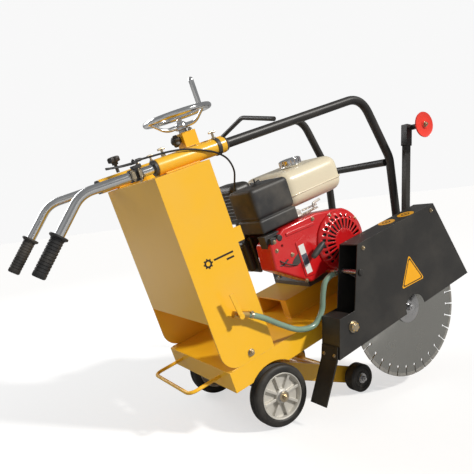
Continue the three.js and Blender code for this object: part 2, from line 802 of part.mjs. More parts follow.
function makeBlade() {
  const slots = 32;
  const slotDepth = 33;
  const hole = 8;
  const half = bladeThickness / 2;
  const outline = [];
  for (let i = 0; i < slots; i += 1) {
    const angle = (360 * i) / slots;
    const gap = 0.45;
    outline.push(...arcPoints(bladeX, bladeZ, bladeRadius, angle + gap, angle + 360 / slots - gap, 2));
    const next = angle + 360 / slots;
    outline.push(...arcPoints(bladeX, bladeZ, bladeRadius - slotDepth + hole, next - gap, next + gap, 1));
  }
  return cut(
    plate(outline, bladeY - half, bladeY + half),
    rod([bladeX, bladeY - 20, bladeZ], [bladeX, bladeY + 20, bladeZ], arborRadius + touch, 20),
  );
}
add('saw_blade', makeBlade(), 'blade');

// ---- Blade guard ---------------------------------------------------------------------------------
const guardOutline = [
  [1013, -98], [927, 216], [526, 216], [435, 20], [366, 23], [317, -98],
];
const guardOpen = -20;
const guardInsets = [guardSheet, guardSheet, guardOpen, guardSheet, guardSheet, guardOpen];
add('guard_shell', cut(
  plate(guardOutline, guardOuterY, guardInnerY),
  plate(inset(guardOutline, guardInsets), guardOuterY + guardSheet, guardInnerY - guardSheet),
  rod([bladeX, guardOuterY - 5, bladeZ], [bladeX, guardOuterY + 10, bladeZ], 50, 32),
  rod([bladeX, guardInnerY - 10, bladeZ], [bladeX, guardInnerY + 5, bladeZ], shaftRadius + 12, 24),
  rod([hingeX, guardOuterY - 5, hingeZ], [hingeX, guardInnerY + 5, hingeZ], hingePinRadius + turning),
  rod([pipeX, guardOuterY - 5, pipeZ], [pipeX, guardInnerY + 5, pipeZ], pipeRadius + touch),
), 'yellow');

const frontEdge = new THREE.Vector2(1013 - 927, -98 - 216).normalize();
const frontOut = new THREE.Vector2(-frontEdge.y, frontEdge.x);
function onFrontEdge(z, offset) {
  const along = (216 - z) / -frontEdge.y;
  return [927 + frontEdge.x * along + frontOut.x * offset, bladeY, z + frontOut.y * offset];
}
add('guard_handle', tubeAlong(bends([
  onFrontEdge(132, touch),
  onFrontEdge(132, 32),
  onFrontEdge(32, 32),
  onFrontEdge(32, touch),
], 16), 6.5, 12), 'black');

add('water_pipe', join(
  rod([pipeX, guardOuterY - 5, pipeZ], [pipeX, hoseY, pipeZ], pipeRadius, 20),
  rod([pipeX, hoseY, pipeZ], [pipeX - 20, hoseY, pipeZ], pipeRadius - 1, 20),
  toSolid(new THREE.SphereGeometry(pipeRadius, 12, 8).translate(pipeX, hoseY, pipeZ)),
  rod([pipeX, bladeY - 22, pipeZ], [626, bladeY - 22, 6], 5, 12),
  rod([pipeX, bladeY + 22, pipeZ], [626, bladeY + 22, 6], 5, 12),
), 'brass');

const flapThickness = 5;
const flapWidth = 76;
add('mud_flap', plate([
  [331.5, -60], [312.5, -102], [218, -214], [214.2, -210.8], [308, -99], [327, -58],
].reverse(), bladeY - flapWidth / 2, bladeY + flapWidth / 2), 'rubber');

// ---- Water valve and hose ------------------------------------------------------------------------
const valveX = 84;
const valveY = -252;
const valveZ = 160;
const outletEnd = [115.7, valveY, 148.2];
const hoseStart = [117.6, valveY, 147.2];
add('valve_body', join(
  rod([valveX - 16, valveY, valveZ + 12], outletEnd, 11, 16),
  rod([valveX, valveY, valveZ], [valveX, -deckEdge - touch, valveZ], 9, 16),
  rod([valveX, valveY - 17, valveZ], [valveX, valveY, valveZ], 7, 16),
), 'brass');
add('valve_lever', join(
  turned([[0, 0], [0, 9], [5, 9], [5, 0]], [0, -1, 0], [valveX, valveY - 17 - touch, valveZ], 16),
  plate([[valveX - 8, valveZ], [valveX + 8, valveZ], [valveX - 2, valveZ + 78], [valveX - 16, valveZ + 78]],
    valveY - 17 - touch - 3, valveY - 17 - touch),
), 'yellow');
add('water_hose', tubeAlong(new THREE.CatmullRomCurve3([
  hoseStart, [140, -255, 132], [169, hoseY, 108], [216, hoseY, 63], [270, hoseY, 20], [332, hoseY, 4],
  [380, hoseY, 34], [404, hoseY, 80], [428, hoseY, 116], [458, hoseY, 128], [pipeX - 21, hoseY, pipeZ],
].map((point) => new THREE.Vector3(...point))).getSpacedPoints(30), hoseRadius, 8), 'hose');

add('throttle_cable', tubeAlong(new THREE.CatmullRomCurve3([
  [throttleX + 12, throttleY, leverZ + 8], [23, throttleY - 4, 697], [80, throttleY - 12, 693],
  [130, throttleY - 24, 683], [185, throttleY - 30, 662], [228, throttleY - 24, 640],
  [262, throttleY - 10, 612], [282, throttleY + 10, 572], [286, throttleY + 40, 530], [290, throttleY + 60, 504],
].map((point) => new THREE.Vector3(...point))).getSpacedPoints(26), 3, 8), 'rubber');

// ---- Wheels --------------------------------------------------------------------------------------
function rearRim(y) {
  const half = rearWheelWidth / 2;
  let rim = turned([
    [-half + 2, tyreInnerRadius - touch], [half - 2, tyreInnerRadius - touch], [half - 2, tyreInnerRadius - 8],
    [-half + 2, tyreInnerRadius - 8], [-half + 2, tyreInnerRadius - touch],
  ], [0, 1, 0], [rearAxleX, y, rearAxleZ], 28);
  rim = join(rim, rod([rearAxleX, y - half, rearAxleZ], [rearAxleX, y + half, rearAxleZ], 25, 24));
  const spokes = 6;
  for (let i = 0; i < spokes; i += 1) {
    const angle = (360 * i) / spokes;
    const spoke = plate([
      ...arcPoints(rearAxleX, rearAxleZ, 20, angle - 15, angle + 15, 1),
      ...arcPoints(rearAxleX, rearAxleZ, tyreInnerRadius - 5, angle + 4.5, angle - 4.5, 1),
    ], y - 15, y + 15);
    rim = join(rim, spoke);
  }
  rim = join(rim, rod([rearAxleX, y - 3, rearAxleZ], [rearAxleX, y + 3, rearAxleZ], tyreInnerRadius - 4, 24));
  return cut(rim, rod([rearAxleX, y - 40, rearAxleZ], [rearAxleX, y + 40, rearAxleZ], axleRadius + turning));
}

for (const [name, side] of Object.entries(sides)) {
  const y = side * (rearWheelOuterFace - rearWheelWidth / 2);
  const half = rearWheelWidth / 2;
  const shoulder = 6;
  add(`rear_tyre_${name}`, turned([
    [-half, tyreInnerRadius], [-half, rearWheelRadius - shoulder], [-half + shoulder, rearWheelRadius],
    [half - shoulder, rearWheelRadius], [half, rearWheelRadius - shoulder], [half, tyreInnerRadius],
    [-half, tyreInnerRadius],
  ], [0, 1, 0], [rearAxleX, y, rearAxleZ], 28), 'rubber');
  add(`rear_rim_${name}`, rearRim(y), 'cast');
}

const axleEnd = rearWheelOuterFace + touch;
add('rear_axle', join(
  rod([rearAxleX, -axleEnd - 2, rearAxleZ], [rearAxleX, axleEnd + 2, rearAxleZ], axleRadius),
  rod([rearAxleX, -axleEnd - 6, rearAxleZ], [rearAxleX, -axleEnd, rearAxleZ], 19),
  rod([rearAxleX, axleEnd, rearAxleZ], [rearAxleX, axleEnd + 6, rearAxleZ], 19),
), 'steel');
const pivotEnd = hangerInnerFace + hangerThickness + 4;
add('pivot_shaft', rod([pivotX, -pivotEnd, pivotZ], [pivotX, pivotEnd, pivotZ], axleRadius), 'steel');

function makeLiftFrame() {
  const angle = Math.atan2(frontAxleZ - pivotZ, frontAxleX - pivotX);
  const degrees = THREE.MathUtils.radToDeg(angle);
  const half = armHeight / 2;
  const outline = [
    ...arcPoints(pivotX, pivotZ, half, degrees + 90, degrees + 270, 10),
    ...arcPoints(frontAxleX, frontAxleZ, half, degrees - 90, degrees + 90, 10),
  ];
  const brace = 0.72;
  const braceX = pivotX + brace * (frontAxleX - pivotX);
  const braceZ = pivotZ + brace * (frontAxleZ - pivotZ);
  let frame = join(
    rod([frontAxleX, -armInnerFace - 1, frontAxleZ], [frontAxleX, armInnerFace + 1, frontAxleZ], axleRadius),
    rod([padX, -armInnerFace - 1, padZ], [padX, armInnerFace + 1, padZ], padBarRadius),
    rod([braceX, -armInnerFace - 1, braceZ], [braceX, armInnerFace + 1, braceZ], 18),
  );
  const axleTip = frontWheelOuterFace + 2;
  for (const side of Object.values(sides)) {
    frame = join(
      frame,
      plate(outline, ...across(armInnerFace, armInnerFace + armThickness, side)),
      rod([frontAxleX, side * armInnerFace, frontAxleZ], [frontAxleX, side * axleTip, frontAxleZ], axleRadius),
    );
  }
  return cut(frame, rod([pivotX, -deckEdge, pivotZ], [pivotX, deckEdge, pivotZ], axleRadius + turning));
}
add('lift_frame', makeLiftFrame(), 'yellow');

for (const [name, side] of Object.entries(sides)) {
  const half = frontWheelWidth / 2;
  const y = side * (frontWheelOuterFace - half);
  const profile = [
    [-half, axleRadius + turning], [-half, 24], [-half + 5, 27], [-half + 5, 34], [-half, 37],
    [-half, frontWheelRadius - 4], [-half + 4, frontWheelRadius], [half - 4, frontWheelRadius],
    [half, frontWheelRadius - 4], [half, 37], [half - 5, 34], [half - 5, 27], [half, 24],
    [half, axleRadius + turning], [-half, axleRadius + turning],
  ];
  add(`front_wheel_${name}`, turned(profile, [0, 1, 0], [frontAxleX, y, frontAxleZ], 20), 'rubber');
}

// ---- Front pointer -------------------------------------------------------------------------------
const pointerReach = new THREE.Vector2(pointerTopX - pointerPivotX, pointerTopZ - pointerPivotZ);
const pointerLength = pointerReach.length();
const pointerAlong = pointerReach.clone().normalize();
const pointerSide = new THREE.Vector2(-pointerAlong.y, pointerAlong.x);
function onPointer(distance, offset) {
  return [
    pointerPivotX + pointerAlong.x * distance + pointerSide.x * offset,
    pointerPivotZ + pointerAlong.y * distance + pointerSide.y * offset,
  ];
}
function pointerBar(from, to, half, y0, y1) {
  return plate([onPointer(from, -half), onPointer(to, -half), onPointer(to, half), onPointer(from, half)], y0, y1);
}
const pointerHalf = pointerTube / 2;
const discDistance = pointerLength - 10;
const discHub = onPointer(discDistance, -14);
add('pointer_arm', cut(
  join(
    pointerBar(-14, pointerLength - 70, pointerHalf, pointerY - pointerHalf, pointerY + pointerHalf),
    pointerBar(pointerLength - 80, pointerLength, pointerHalf + 3, pointerY - pointerHalf - 3,
      pointerY + pointerHalf + 3),
    rod([discHub[0], pointerY, discHub[1]], [discHub[0], bladeY + 14, discHub[1]], 10, 14),
    rod([discHub[0], bladeY + 15, discHub[1]], [discHub[0], bladeY - 8, discHub[1]], 5, 14),
  ),
  rod([pointerPivotX, pointerY - 40, pointerPivotZ], [pointerPivotX, pointerY + 40, pointerPivotZ], 8 + turning),
), 'black');
add('pointer_disc', cut(
  turned([[-5, 0], [-5, 16], [-2, 18], [-2, pointerDiscRadius], [2, pointerDiscRadius], [2, 18], [5, 16], [5, 0]],
    [0, 1, 0], [discHub[0], bladeY, discHub[1]], 24),
  rod([discHub[0], bladeY - 20, discHub[1]], [discHub[0], bladeY + 20, discHub[1]], 5 + turning, 14),
), 'disc');

// ---- Stand the machine on its wheels -------------------------------------------------------------
// The ground line touches both wheels from below: it leans by the angle between the line of the
// wheel centres and the level deck, plus the share that comes from the unequal radii.
const wheelDrop = Math.atan2(rearAxleZ - frontAxleZ, frontAxleX - rearAxleX);
const wheelSpan = Math.hypot(frontAxleX - rearAxleX, rearAxleZ - frontAxleZ);
const tilt = wheelDrop - Math.asin((rearWheelRadius - frontWheelRadius) / wheelSpan);
chassis.rotation.y = -tilt;
group.updateMatrixWorld(true);
const bounds = new THREE.Box3().setFromObject(group, true);
chassis.position.set(-(bounds.min.x + bounds.max.x) / 2, -(bounds.min.y + bounds.max.y) / 2, -bounds.min.z);
group.updateMatrixWorld(true);

export default group;
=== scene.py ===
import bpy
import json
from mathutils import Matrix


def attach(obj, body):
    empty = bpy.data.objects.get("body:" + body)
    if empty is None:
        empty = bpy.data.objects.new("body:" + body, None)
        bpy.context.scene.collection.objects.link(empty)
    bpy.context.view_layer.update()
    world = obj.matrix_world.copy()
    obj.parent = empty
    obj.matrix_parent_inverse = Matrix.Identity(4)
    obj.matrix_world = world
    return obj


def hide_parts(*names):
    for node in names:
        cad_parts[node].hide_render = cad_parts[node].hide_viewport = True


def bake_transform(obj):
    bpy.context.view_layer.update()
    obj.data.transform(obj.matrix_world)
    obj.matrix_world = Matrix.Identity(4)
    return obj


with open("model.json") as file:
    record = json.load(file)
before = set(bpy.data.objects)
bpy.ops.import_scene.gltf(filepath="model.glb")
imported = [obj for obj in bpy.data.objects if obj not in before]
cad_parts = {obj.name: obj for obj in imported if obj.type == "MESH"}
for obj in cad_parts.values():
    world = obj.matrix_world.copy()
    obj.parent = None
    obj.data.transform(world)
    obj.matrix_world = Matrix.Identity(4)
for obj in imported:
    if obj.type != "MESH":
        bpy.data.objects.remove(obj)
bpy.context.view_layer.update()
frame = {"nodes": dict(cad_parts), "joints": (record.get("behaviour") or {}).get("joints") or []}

import json
import math

import bmesh
import bpy
from mathutils import Matrix, Vector

# ---- Level chassis and camera --------------------------------------------------------------------
# The saw stands nose-up on its wheels, so every piece is made on a level chassis in millimetres
# (x forward from the deck's rear edge, y to the left, z up from the deck) and then tipped.
SHAFT_FROM_REAR = 702
SHAFT_BELOW_DECK = 97
joints = {joint["name"]: joint for joint in frame["joints"]}
fore = Vector(joints["handlebar_right_slide"]["axis"]).normalized()
rise = Vector(joints["jack_ram_slide"]["axis"]).normalized()
port = rise.cross(fore)
shaft = Vector(joints["blade_spin"]["pos_m"])
origin = shaft - fore * SHAFT_FROM_REAR / 1000 + rise * SHAFT_BELOW_DECK / 1000
LEVEL = Matrix.Translation(origin) @ Matrix((fore, port, rise)).transposed().to_4x4() @ Matrix.Scale(0.001, 4)
TO_LEVEL = LEVEL.inverted()


def place(x, y, z):
    """A point of the level chassis, in the row frame, in metres."""
    return LEVEL @ Vector((x, y, z))


def span(node):
    """Lowest and highest corner of a CAD node on the level chassis, in millimetres."""
    points = [TO_LEVEL @ vertex.co for vertex in frame["nodes"][node].data.vertices]
    low = Vector([min(point[i] for point in points) for i in range(3)])
    high = Vector([max(point[i] for point in points) for i in range(3)])
    return low, high


def middle(node):
    low, high = span(node)
    return (low + high) / 2


EYE = (-581, -1603, 668)
LOOK = Vector((0.477, 0.860, -0.180))
HEAD_UP = Vector((0.369, -0.010, 0.930))
camera_data = bpy.data.cameras.new("camera")
camera_data.lens = 39.07
camera_data.sensor_width = 36
camera = bpy.data.objects.new("camera", camera_data)
bpy.context.scene.collection.objects.link(camera)
back = (LEVEL.to_3x3() @ -LOOK).normalized()
side = (LEVEL.to_3x3() @ HEAD_UP).cross(back).normalized()
camera.matrix_world = Matrix.Translation(place(*EYE)) @ Matrix((side, back.cross(side),
                                                                back)).transposed().to_4x4()
bpy.context.scene.camera = camera


# ---- Water hose ----------------------------------------------------------------------------------
# A clear green vinyl hose pushed onto the valve's barb at one end and the guard's pipe at the
# other. It droops over the deck's edge.
def new_group(name, inputs, outputs):
    """An empty shader node group with named sockets, and its two end nodes."""
    group = bpy.data.node_groups.new(name, "ShaderNodeTree")
    for label, kind, value in inputs:
        socket = group.interface.new_socket(name=label, in_out="INPUT", socket_type=kind)
        if value is not None:
            socket.default_value = value
    for label, kind in outputs:
        group.interface.new_socket(name=label, in_out="OUTPUT", socket_type=kind)
    return group, group.nodes.new("NodeGroupInput"), group.nodes.new("NodeGroupOutput")


FLOAT, VECTOR = "NodeSocketFloat", "NodeSocketVector"


def math_node(tree, operation, first, second=None, clamp=False):
    """A Math node fed with sockets or numbers."""
    node = tree.nodes.new("ShaderNodeMath")
    node.operation = operation
    node.use_clamp = clamp
    for index, value in enumerate((first, second)):
        if isinstance(value, (int, float)):
            node.inputs[index].default_value = value
        elif value is not None:
            tree.links.new(value, node.inputs[index])
    return node.outputs[0]


def noise_node(tree, scale, detail, roughness=0.6):
    """A noise texture over the piece's own coordinates."""
    where = tree.nodes.new("ShaderNodeTexCoord")
    noise = tree.nodes.new("ShaderNodeTexNoise")
    noise.inputs["Detail"].default_value = detail
    noise.inputs["Roughness"].default_value = roughness
    tree.links.new(where.outputs["Object"], noise.inputs["Vector"])
    if isinstance(scale, (int, float)):
        noise.inputs["Scale"].default_value = scale
    else:
        tree.links.new(scale, noise.inputs["Scale"])
    return noise.outputs["Fac"]


# Grain: fine unevenness of a moulded, cast or sprayed surface, and slow changes of its tone.
grain_group, ends_in, ends_out = new_group(
    "grain",
    [("Scale", FLOAT, 300.0), ("Patch Scale", FLOAT, 8.0)],
    [("Height", FLOAT), ("Patches", FLOAT)],
)
fine = noise_node(grain_group, ends_in.outputs["Scale"], 2.0)
broad = noise_node(grain_group, ends_in.outputs["Patch Scale"], 5.0)
grain_group.links.new(fine, ends_out.inputs["Height"])
grain_group.links.new(broad, ends_out.inputs["Patches"])

# Edge wear: a mask that is white where an edge is rubbed, broken up by noise.
wear_group, ends_in, ends_out = new_group(
    "edge_wear",
    [("Width", FLOAT, 0.002), ("Amount", FLOAT, 0.5), ("Scale", FLOAT, 60.0)],
    [("Mask", FLOAT), ("Normal", VECTOR)],
)
soft = wear_group.nodes.new("ShaderNodeBevel")
soft.samples = 4
wear_group.links.new(ends_in.outputs["Width"], soft.inputs["Radius"])
true_normal = wear_group.nodes.new("ShaderNodeNewGeometry")
facing = wear_group.nodes.new("ShaderNodeVectorMath")
facing.operation = "DOT_PRODUCT"
wear_group.links.new(soft.outputs["Normal"], facing.inputs[0])
wear_group.links.new(true_normal.outputs["Normal"], facing.inputs[1])
turned_away = math_node(wear_group, "SUBTRACT", 1.0, facing.outputs["Value"])
sharp = math_node(wear_group, "MULTIPLY", turned_away, 9.0, clamp=True)
chips = noise_node(wear_group, ends_in.outputs["Scale"], 6.0, 0.7)
chipped = math_node(wear_group, "MULTIPLY", math_node(wear_group, "SUBTRACT", chips, 0.47), 9.0, clamp=True)
worn = math_node(wear_group, "MULTIPLY", sharp, chipped)
wear_group.links.new(math_node(wear_group, "MULTIPLY", worn, ends_in.outputs["Amount"]),
                     ends_out.inputs["Mask"])
wear_group.links.new(soft.outputs["Normal"], ends_out.inputs["Normal"])


def mix_colour(tree, factor, first, second, mode="MIX"):
    """A colour mix; each colour is a socket or a tuple."""
    mix = tree.nodes.new("ShaderNodeMix")
    mix.data_type = "RGBA"
    mix.blend_type = mode
    for socket, value in ((mix.inputs[0], factor), (mix.inputs[6], first), (mix.inputs[7], second)):
        if isinstance(value, (int, float)):
            socket.default_value = value
        elif isinstance(value, tuple):
            socket.default_value = (*value, 1.0)
        else:
            tree.links.new(value, socket)
    return mix.outputs[2]


def finish(name, colour, roughness, metallic=0.0, grain=(300.0, 0.0004), patches=(8.0, 0.12), dust=0.0,
           wear=None, wear_width=0.0015, coat=0.0, transmission=0.0, ior=1.45,
           dust_colour=(0.36, 0.31, 0.24)):
    """A painted, moulded or metal surface: grain, tone patches, dust and rubbed edges."""
    material = bpy.data.materials.new(name)
    material.use_nodes = True
    tree = material.node_tree
    shader = tree.nodes["Principled BSDF"]
    grain_node = tree.nodes.new("ShaderNodeGroup")
    grain_node.node_tree = grain_group
    grain_node.inputs["Scale"].default_value = grain[0]
    grain_node.inputs["Patch Scale"].default_value = patches[0]
    darker = tuple(channel * (1 - patches[1]) for channel in colour)
    base = mix_colour(tree, grain_node.outputs["Patches"], darker,
                      tuple(min(1.0, c * (1 + patches[1])) for c in colour))
    rough = math_node(tree, "MULTIPLY_ADD", grain_node.outputs["Patches"], 0.16)
    rough.node.inputs[2].default_value = roughness - 0.08
    if dust:
        cover = math_node(tree, "MULTIPLY",
                          math_node(tree, "SUBTRACT", grain_node.outputs["Patches"], 0.45), dust * 4)
        cover.node.use_clamp = True
        base = mix_colour(tree, cover, base, dust_colour)
        rough = math_node(tree, "ADD", rough, math_node(tree, "MULTIPLY", cover, 0.3))
    bump = tree.nodes.new("ShaderNodeBump")
    bump.inputs["Strength"].default_value = 0.5
    bump.inputs["Distance"].default_value = grain[1]
    tree.links.new(grain_node.outputs["Height"], bump.inputs["Height"])
    metal = None
    if wear:
        wear_node = tree.nodes.new("ShaderNodeGroup")
        wear_node.node_tree = wear_group
        wear_node.inputs["Width"].default_value = wear_width
        wear_node.inputs["Amount"].default_value = wear[0]
        base = mix_colour(tree, wear_node.outputs["Mask"], base, wear[1])
        tree.links.new(wear_node.outputs["Normal"], bump.inputs["Normal"])
        if metallic < 0.5 and wear[2]:
            metal = wear_node.outputs["Mask"]
    tree.links.new(base, shader.inputs["Base Color"])
    tree.links.new(rough, shader.inputs["Roughness"])
    tree.links.new(bump.outputs["Normal"], shader.inputs["Normal"])
    if metal is not None:
        tree.links.new(metal, shader.inputs["Metallic"])
    else:
        shader.inputs["Metallic"].default_value = metallic
    shader.inputs["Coat Weight"].default_value = coat
    shader.inputs["Coat Roughness"].default_value = 0.12
    shader.inputs["Transmission Weight"].default_value = transmission
    shader.inputs["IOR"].default_value = ior
    return material


vinyl = finish("hose_vinyl", (0.30, 0.46, 0.36), 0.22, grain=(120.0, 0.0003), patches=(30.0, 0.18), coat=0.4,
               transmission=0.35)


def piece(name, bm, material, body, bevel=0.0, angle=35, replaces=(), bevel_segments=2):
    """Tips a mesh made on the level chassis, shades it, gives it its finish and its body."""
    bmesh.ops.recalc_face_normals(bm, faces=bm.faces[:])
    mesh = bpy.data.meshes.new(name)
    bm.to_mesh(mesh)
    bm.free()
    mesh.transform(LEVEL)
    for polygon in mesh.polygons:
        polygon.use_smooth = True
    mesh.set_sharp_from_angle(angle=math.radians(angle))
    thing = bpy.data.objects.new(name, mesh)
    bpy.context.scene.collection.objects.link(thing)
    mesh.materials.append(material)
    if bevel:
        rounding = thing.modifiers.new("rounding", "BEVEL")
        rounding.width = bevel / 1000
        rounding.segments = bevel_segments
        rounding.limit_method = "ANGLE"
        rounding.angle_limit = math.radians(35)
        rounding.harden_normals = True
    if body:
        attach(thing, body)
    if replaces:
        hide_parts(*replaces)
    return thing


def sweep(bm, path, radius, sides=24, caps=True, squeeze=1.0):
    """A round bar along points; radius is a number or a function of the share of the length."""
    points = [Vector(point) for point in path]
    rings = []
    normal = None
    for index, point in enumerate(points):
        ahead = points[min(index + 1, len(points) - 1)] - points[max(index - 1, 0)]
        ahead.normalize()
        if normal is None:
            normal = ahead.orthogonal().normalized()
        normal = (normal - ahead * normal.dot(ahead)).normalized()
        other = ahead.cross(normal)
        size = radius(index / (len(points) - 1)) if callable(radius) else radius
        ring = []
        for turn in range(sides):
            angle = 2 * math.pi * turn / sides
            offset = normal * math.cos(angle) * size + other * math.sin(angle) * size * squeeze
            ring.append(bm.verts.new(point + offset))
        rings.append(ring)
    for low, high in zip(rings, rings[1:]):
        for turn in range(sides):
            nxt = (turn + 1) % sides
            bm.faces.new((low[turn], low[nxt], high[nxt], high[turn]))
    if caps:
        bm.faces.new(rings[0][::-1])
        bm.faces.new(rings[-1])


def smooth_path(points, per_span=6):
    """A curve through every point (Catmull-Rom)."""
    knots = [Vector(point) for point in points]
    knots = [knots[0] * 2 - knots[1], *knots, knots[-1] * 2 - knots[-2]]
    path = []
    for a, b, c, d in zip(knots, knots[1:], knots[2:], knots[3:]):
        for step in range(per_span):
            t = step / per_span
            path.append(0.5 * ((2 * b) + (c - a) * t + (2 * a - 5 * b + 4 * c - d) * t * t
                               + (3 * b - a - 3 * c + d) * t ** 3))
    path.append(knots[-2])
    return path


HOSE_RADIUS = 9.6
hose_y = -258
hose_route = smooth_path([
    (118.2, -252, 147.0), (140, -255, 132), (169, hose_y, 108), (216, hose_y, 63), (270, hose_y, 20),
    (332, hose_y, 4), (380, hose_y, 34), (404, hose_y, 80), (428, hose_y, 116), (458, hose_y, 128),
    (483, hose_y, 127),
], 8)
bm = bmesh.new()
sweep(bm, hose_route, HOSE_RADIUS, 28)
hose = piece("water_hose_vinyl", bm, vinyl, None, angle=60)
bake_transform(hose)
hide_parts("water_hose")

# ---- Throttle cable ------------------------------------------------------------------------------
# A black sheathed cable from the lever on the right handlebar to the engine, left in an open
# loop beside the head so that the bar can slide.
CABLE_RADIUS = 3
TUBE_Z = (span("handle_socket_right")[0].z + span("handle_socket_right")[1].z) / 2
right_bar = middle("handlebar_right")
bar_y = right_bar.y
lever_low, lever_high = span("throttle_lever")
cable_route = smooth_path([
    (-22, bar_y, 699), (23, bar_y - 4, 697), (80, bar_y - 12, 693), (130, bar_y - 24, 683),
    (185, bar_y - 30, 662), (228, bar_y - 24, 640), (262, bar_y - 10, 612), (282, bar_y + 10, 572),
    (286, bar_y + 40, 530), (290, bar_y + 60, 504),
], 8)
sheath = finish("cable_sheath", (0.015, 0.015, 0.016), 0.4, grain=(500.0, 0.0002), patches=(20.0, 0.2))
bm = bmesh.new()
sweep(bm, cable_route, CABLE_RADIUS, 14)
cable = piece("throttle_cable_sheath", bm, sheath, None, angle=60)
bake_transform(cable)
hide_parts("throttle_cable")

# ---- Deck ----------------------------------------------------------------------------------------
# Folded and welded steel plate with skirts, an engine bed and hangers for the running gear,
# sprayed in glossy yellow. The paint is chipped to bare steel along its edges.
yellow = finish("yellow_paint", (0.92, 0.50, 0.018), 0.33, grain=(240.0, 0.00035), patches=(4.0, 0.06),
                dust=0.10,
                wear=(0.55, (0.30, 0.24, 0.17), False), coat=0.35)
black = finish("black_paint", (0.024, 0.023, 0.022), 0.40, grain=(420.0, 0.0004), patches=(9.0, 0.2),
               dust=0.04,
               wear=(0.35, (0.16, 0.15, 0.14), False))
zinc = finish("zinc_plate", (0.56, 0.47, 0.33), 0.30, 0.95, grain=(300.0, 0.0002), patches=(60.0, 0.2))
steel = finish("machined_steel", (0.52, 0.52, 0.53), 0.28, 0.95, grain=(500.0, 0.0002), patches=(25.0, 0.12))
chrome = finish("chrome_plate", (0.78, 0.79, 0.80), 0.13, 1.0, grain=(30.0, 0.0001), patches=(12.0, 0.08))
cast = finish("cast_aluminium", (0.62, 0.60, 0.55), 0.46, 0.45, grain=(700.0, 0.0009), patches=(14.0, 0.22),
              dust=0.25,
              wear=(0.5, (0.62, 0.6, 0.57), False))


def dress(material, *nodes):
    """Gives CAD nodes a finish, smooth across their facets and crisp at their real edges."""
    for node in nodes:
        thing = frame["nodes"][node]
        thing.data.materials.clear()
        thing.data.materials.append(material)
        for polygon in thing.data.polygons:
            polygon.use_smooth = True
        thing.data.set_sharp_from_angle(angle=math.radians(32))


dress(yellow, "deck_frame", "lift_frame", "water_tank", "lift_head")


def frame_of(direction):
    """Two directions square to this one."""
    along = Vector(direction).normalized()
    first = along.orthogonal().normalized()
    return along, first, along.cross(first)


def turn_piece(bm, profile, centre, direction, segments=64):
    """A turned shape: profile of (distance along, radius); ends on the axis are closed."""
    along, first, second = frame_of(direction)
    base = Vector(centre)
    rings = []
    for distance, radius in profile:
        if radius <= 0:
            rings.append([bm.verts.new(base + along * distance)])
            continue
        ring = []
        for turn in range(segments):
            angle = 2 * math.pi * turn / segments
            ring.append(bm.verts.new(base + along * distance
                                     + (first * math.cos(angle) + second * math.sin(angle)) * radius))
        rings.append(ring)
    for low, high in zip(rings, rings[1:]):
        for turn in range(segments):
            nxt = (turn + 1) % segments
            corners = [low[turn % len(low)], low[nxt % len(low)], high[nxt % len(high)],
                       high[turn % len(high)]]
            unique = list(dict.fromkeys(corners))
            if len(unique) > 2:
                bm.faces.new(unique)


def hex_bolt(bm, foot, direction, across=13, washer=True):
    """A hexagon head on its washer, with a stub of thread, standing at foot."""
    if washer:
        turn_piece(bm, [(0, 0), (0, across * 0.82), (1.6, across * 0.82), (1.6, 0)], foot, direction, 24)
    radius = across / 2 / math.cos(math.pi / 6)
    turn_piece(bm, [(1.6, 0), (1.6, radius), (across * 0.58, radius), (across * 0.66, radius * 0.86),
                    (across * 0.66, 0)], foot, direction, 6)
    turn_piece(bm, [(across * 0.6, 0), (across * 0.6, across * 0.28), (across * 0.92, across * 0.28),
                    (across * 0.95, 0)], foot, direction, 16)


def bolts(name, body, places, direction, across=13, material=None):
    """Like bolts in one piece; each place is a point on the face they clamp."""
    bm = bmesh.new()
    for foot in places:
        hex_bolt(bm, foot, direction, across)
    return piece(name, bm, material or zinc, body, bevel=0.35, angle=30)


UP, DOWN, RIGHT, LEFT_SIDE, FORE, AFT = (0, 0, 1), (0, 0, -1), (0, -1, 0), (0, 1, 0), (1, 0, 0), (-1, 0, 0)
deck_low = span("deck_frame")[0]
DECK_EDGE = 228
bed_top = span("crankcase")[0].z - 0.3
bolts("bed_bolts", "chassis", [(770, y, bed_top) for y in (-92, 92)], UP, 13)


def weld(bm, start, end, radius=2.6):
    """A weld bead with its ripples."""
    a, b = Vector(start), Vector(end)
    steps = max(6, int((b - a).length / 2.2))
    path = [a.lerp(b, i / steps) for i in range(steps + 1)]
    sweep(bm, path, lambda share: radius * (1 + 0.16 * math.sin(share * steps * 2.4)), 8)


bm = bmesh.new()
for y in (-108, 108):
    weld(bm, (352, y, 1), (778, y, 1))
for y in (-DECK_EDGE + 2, DECK_EDGE - 2):
    weld(bm, (10, y, 0.6), (176, y, 0.6), 2)
piece("deck_welds", bm, yellow, "chassis", angle=50)

# ---- Rear lift bar -------------------------------------------------------------------------------
# A bent rod welded to the rear panel, for lifting the back of the machine by hand.
BEND_STEPS = 12


def bent(corners, bend_radius, steps=BEND_STEPS):
    """Straight runs with a round bend at each corner."""
    points = [Vector(corner) for corner in corners]
    path = [points[0]]
    for before, corner, after in zip(points, points[1:], points[2:]):
        back_way = before - corner
        ahead = after - corner
        turn = math.pi - back_way.angle(ahead)
        reach = min(bend_radius * math.tan(turn / 2), 0.49 * min(back_way.length, ahead.length))
        start = corner + back_way.normalized() * reach
        end = corner + ahead.normalized() * reach
        for step in range(steps + 1):
            t = step / steps
            path.append(start * (1 - t) ** 2 + corner * 2 * t * (1 - t) + end * t * t)
    path.append(points[-1])
    return path


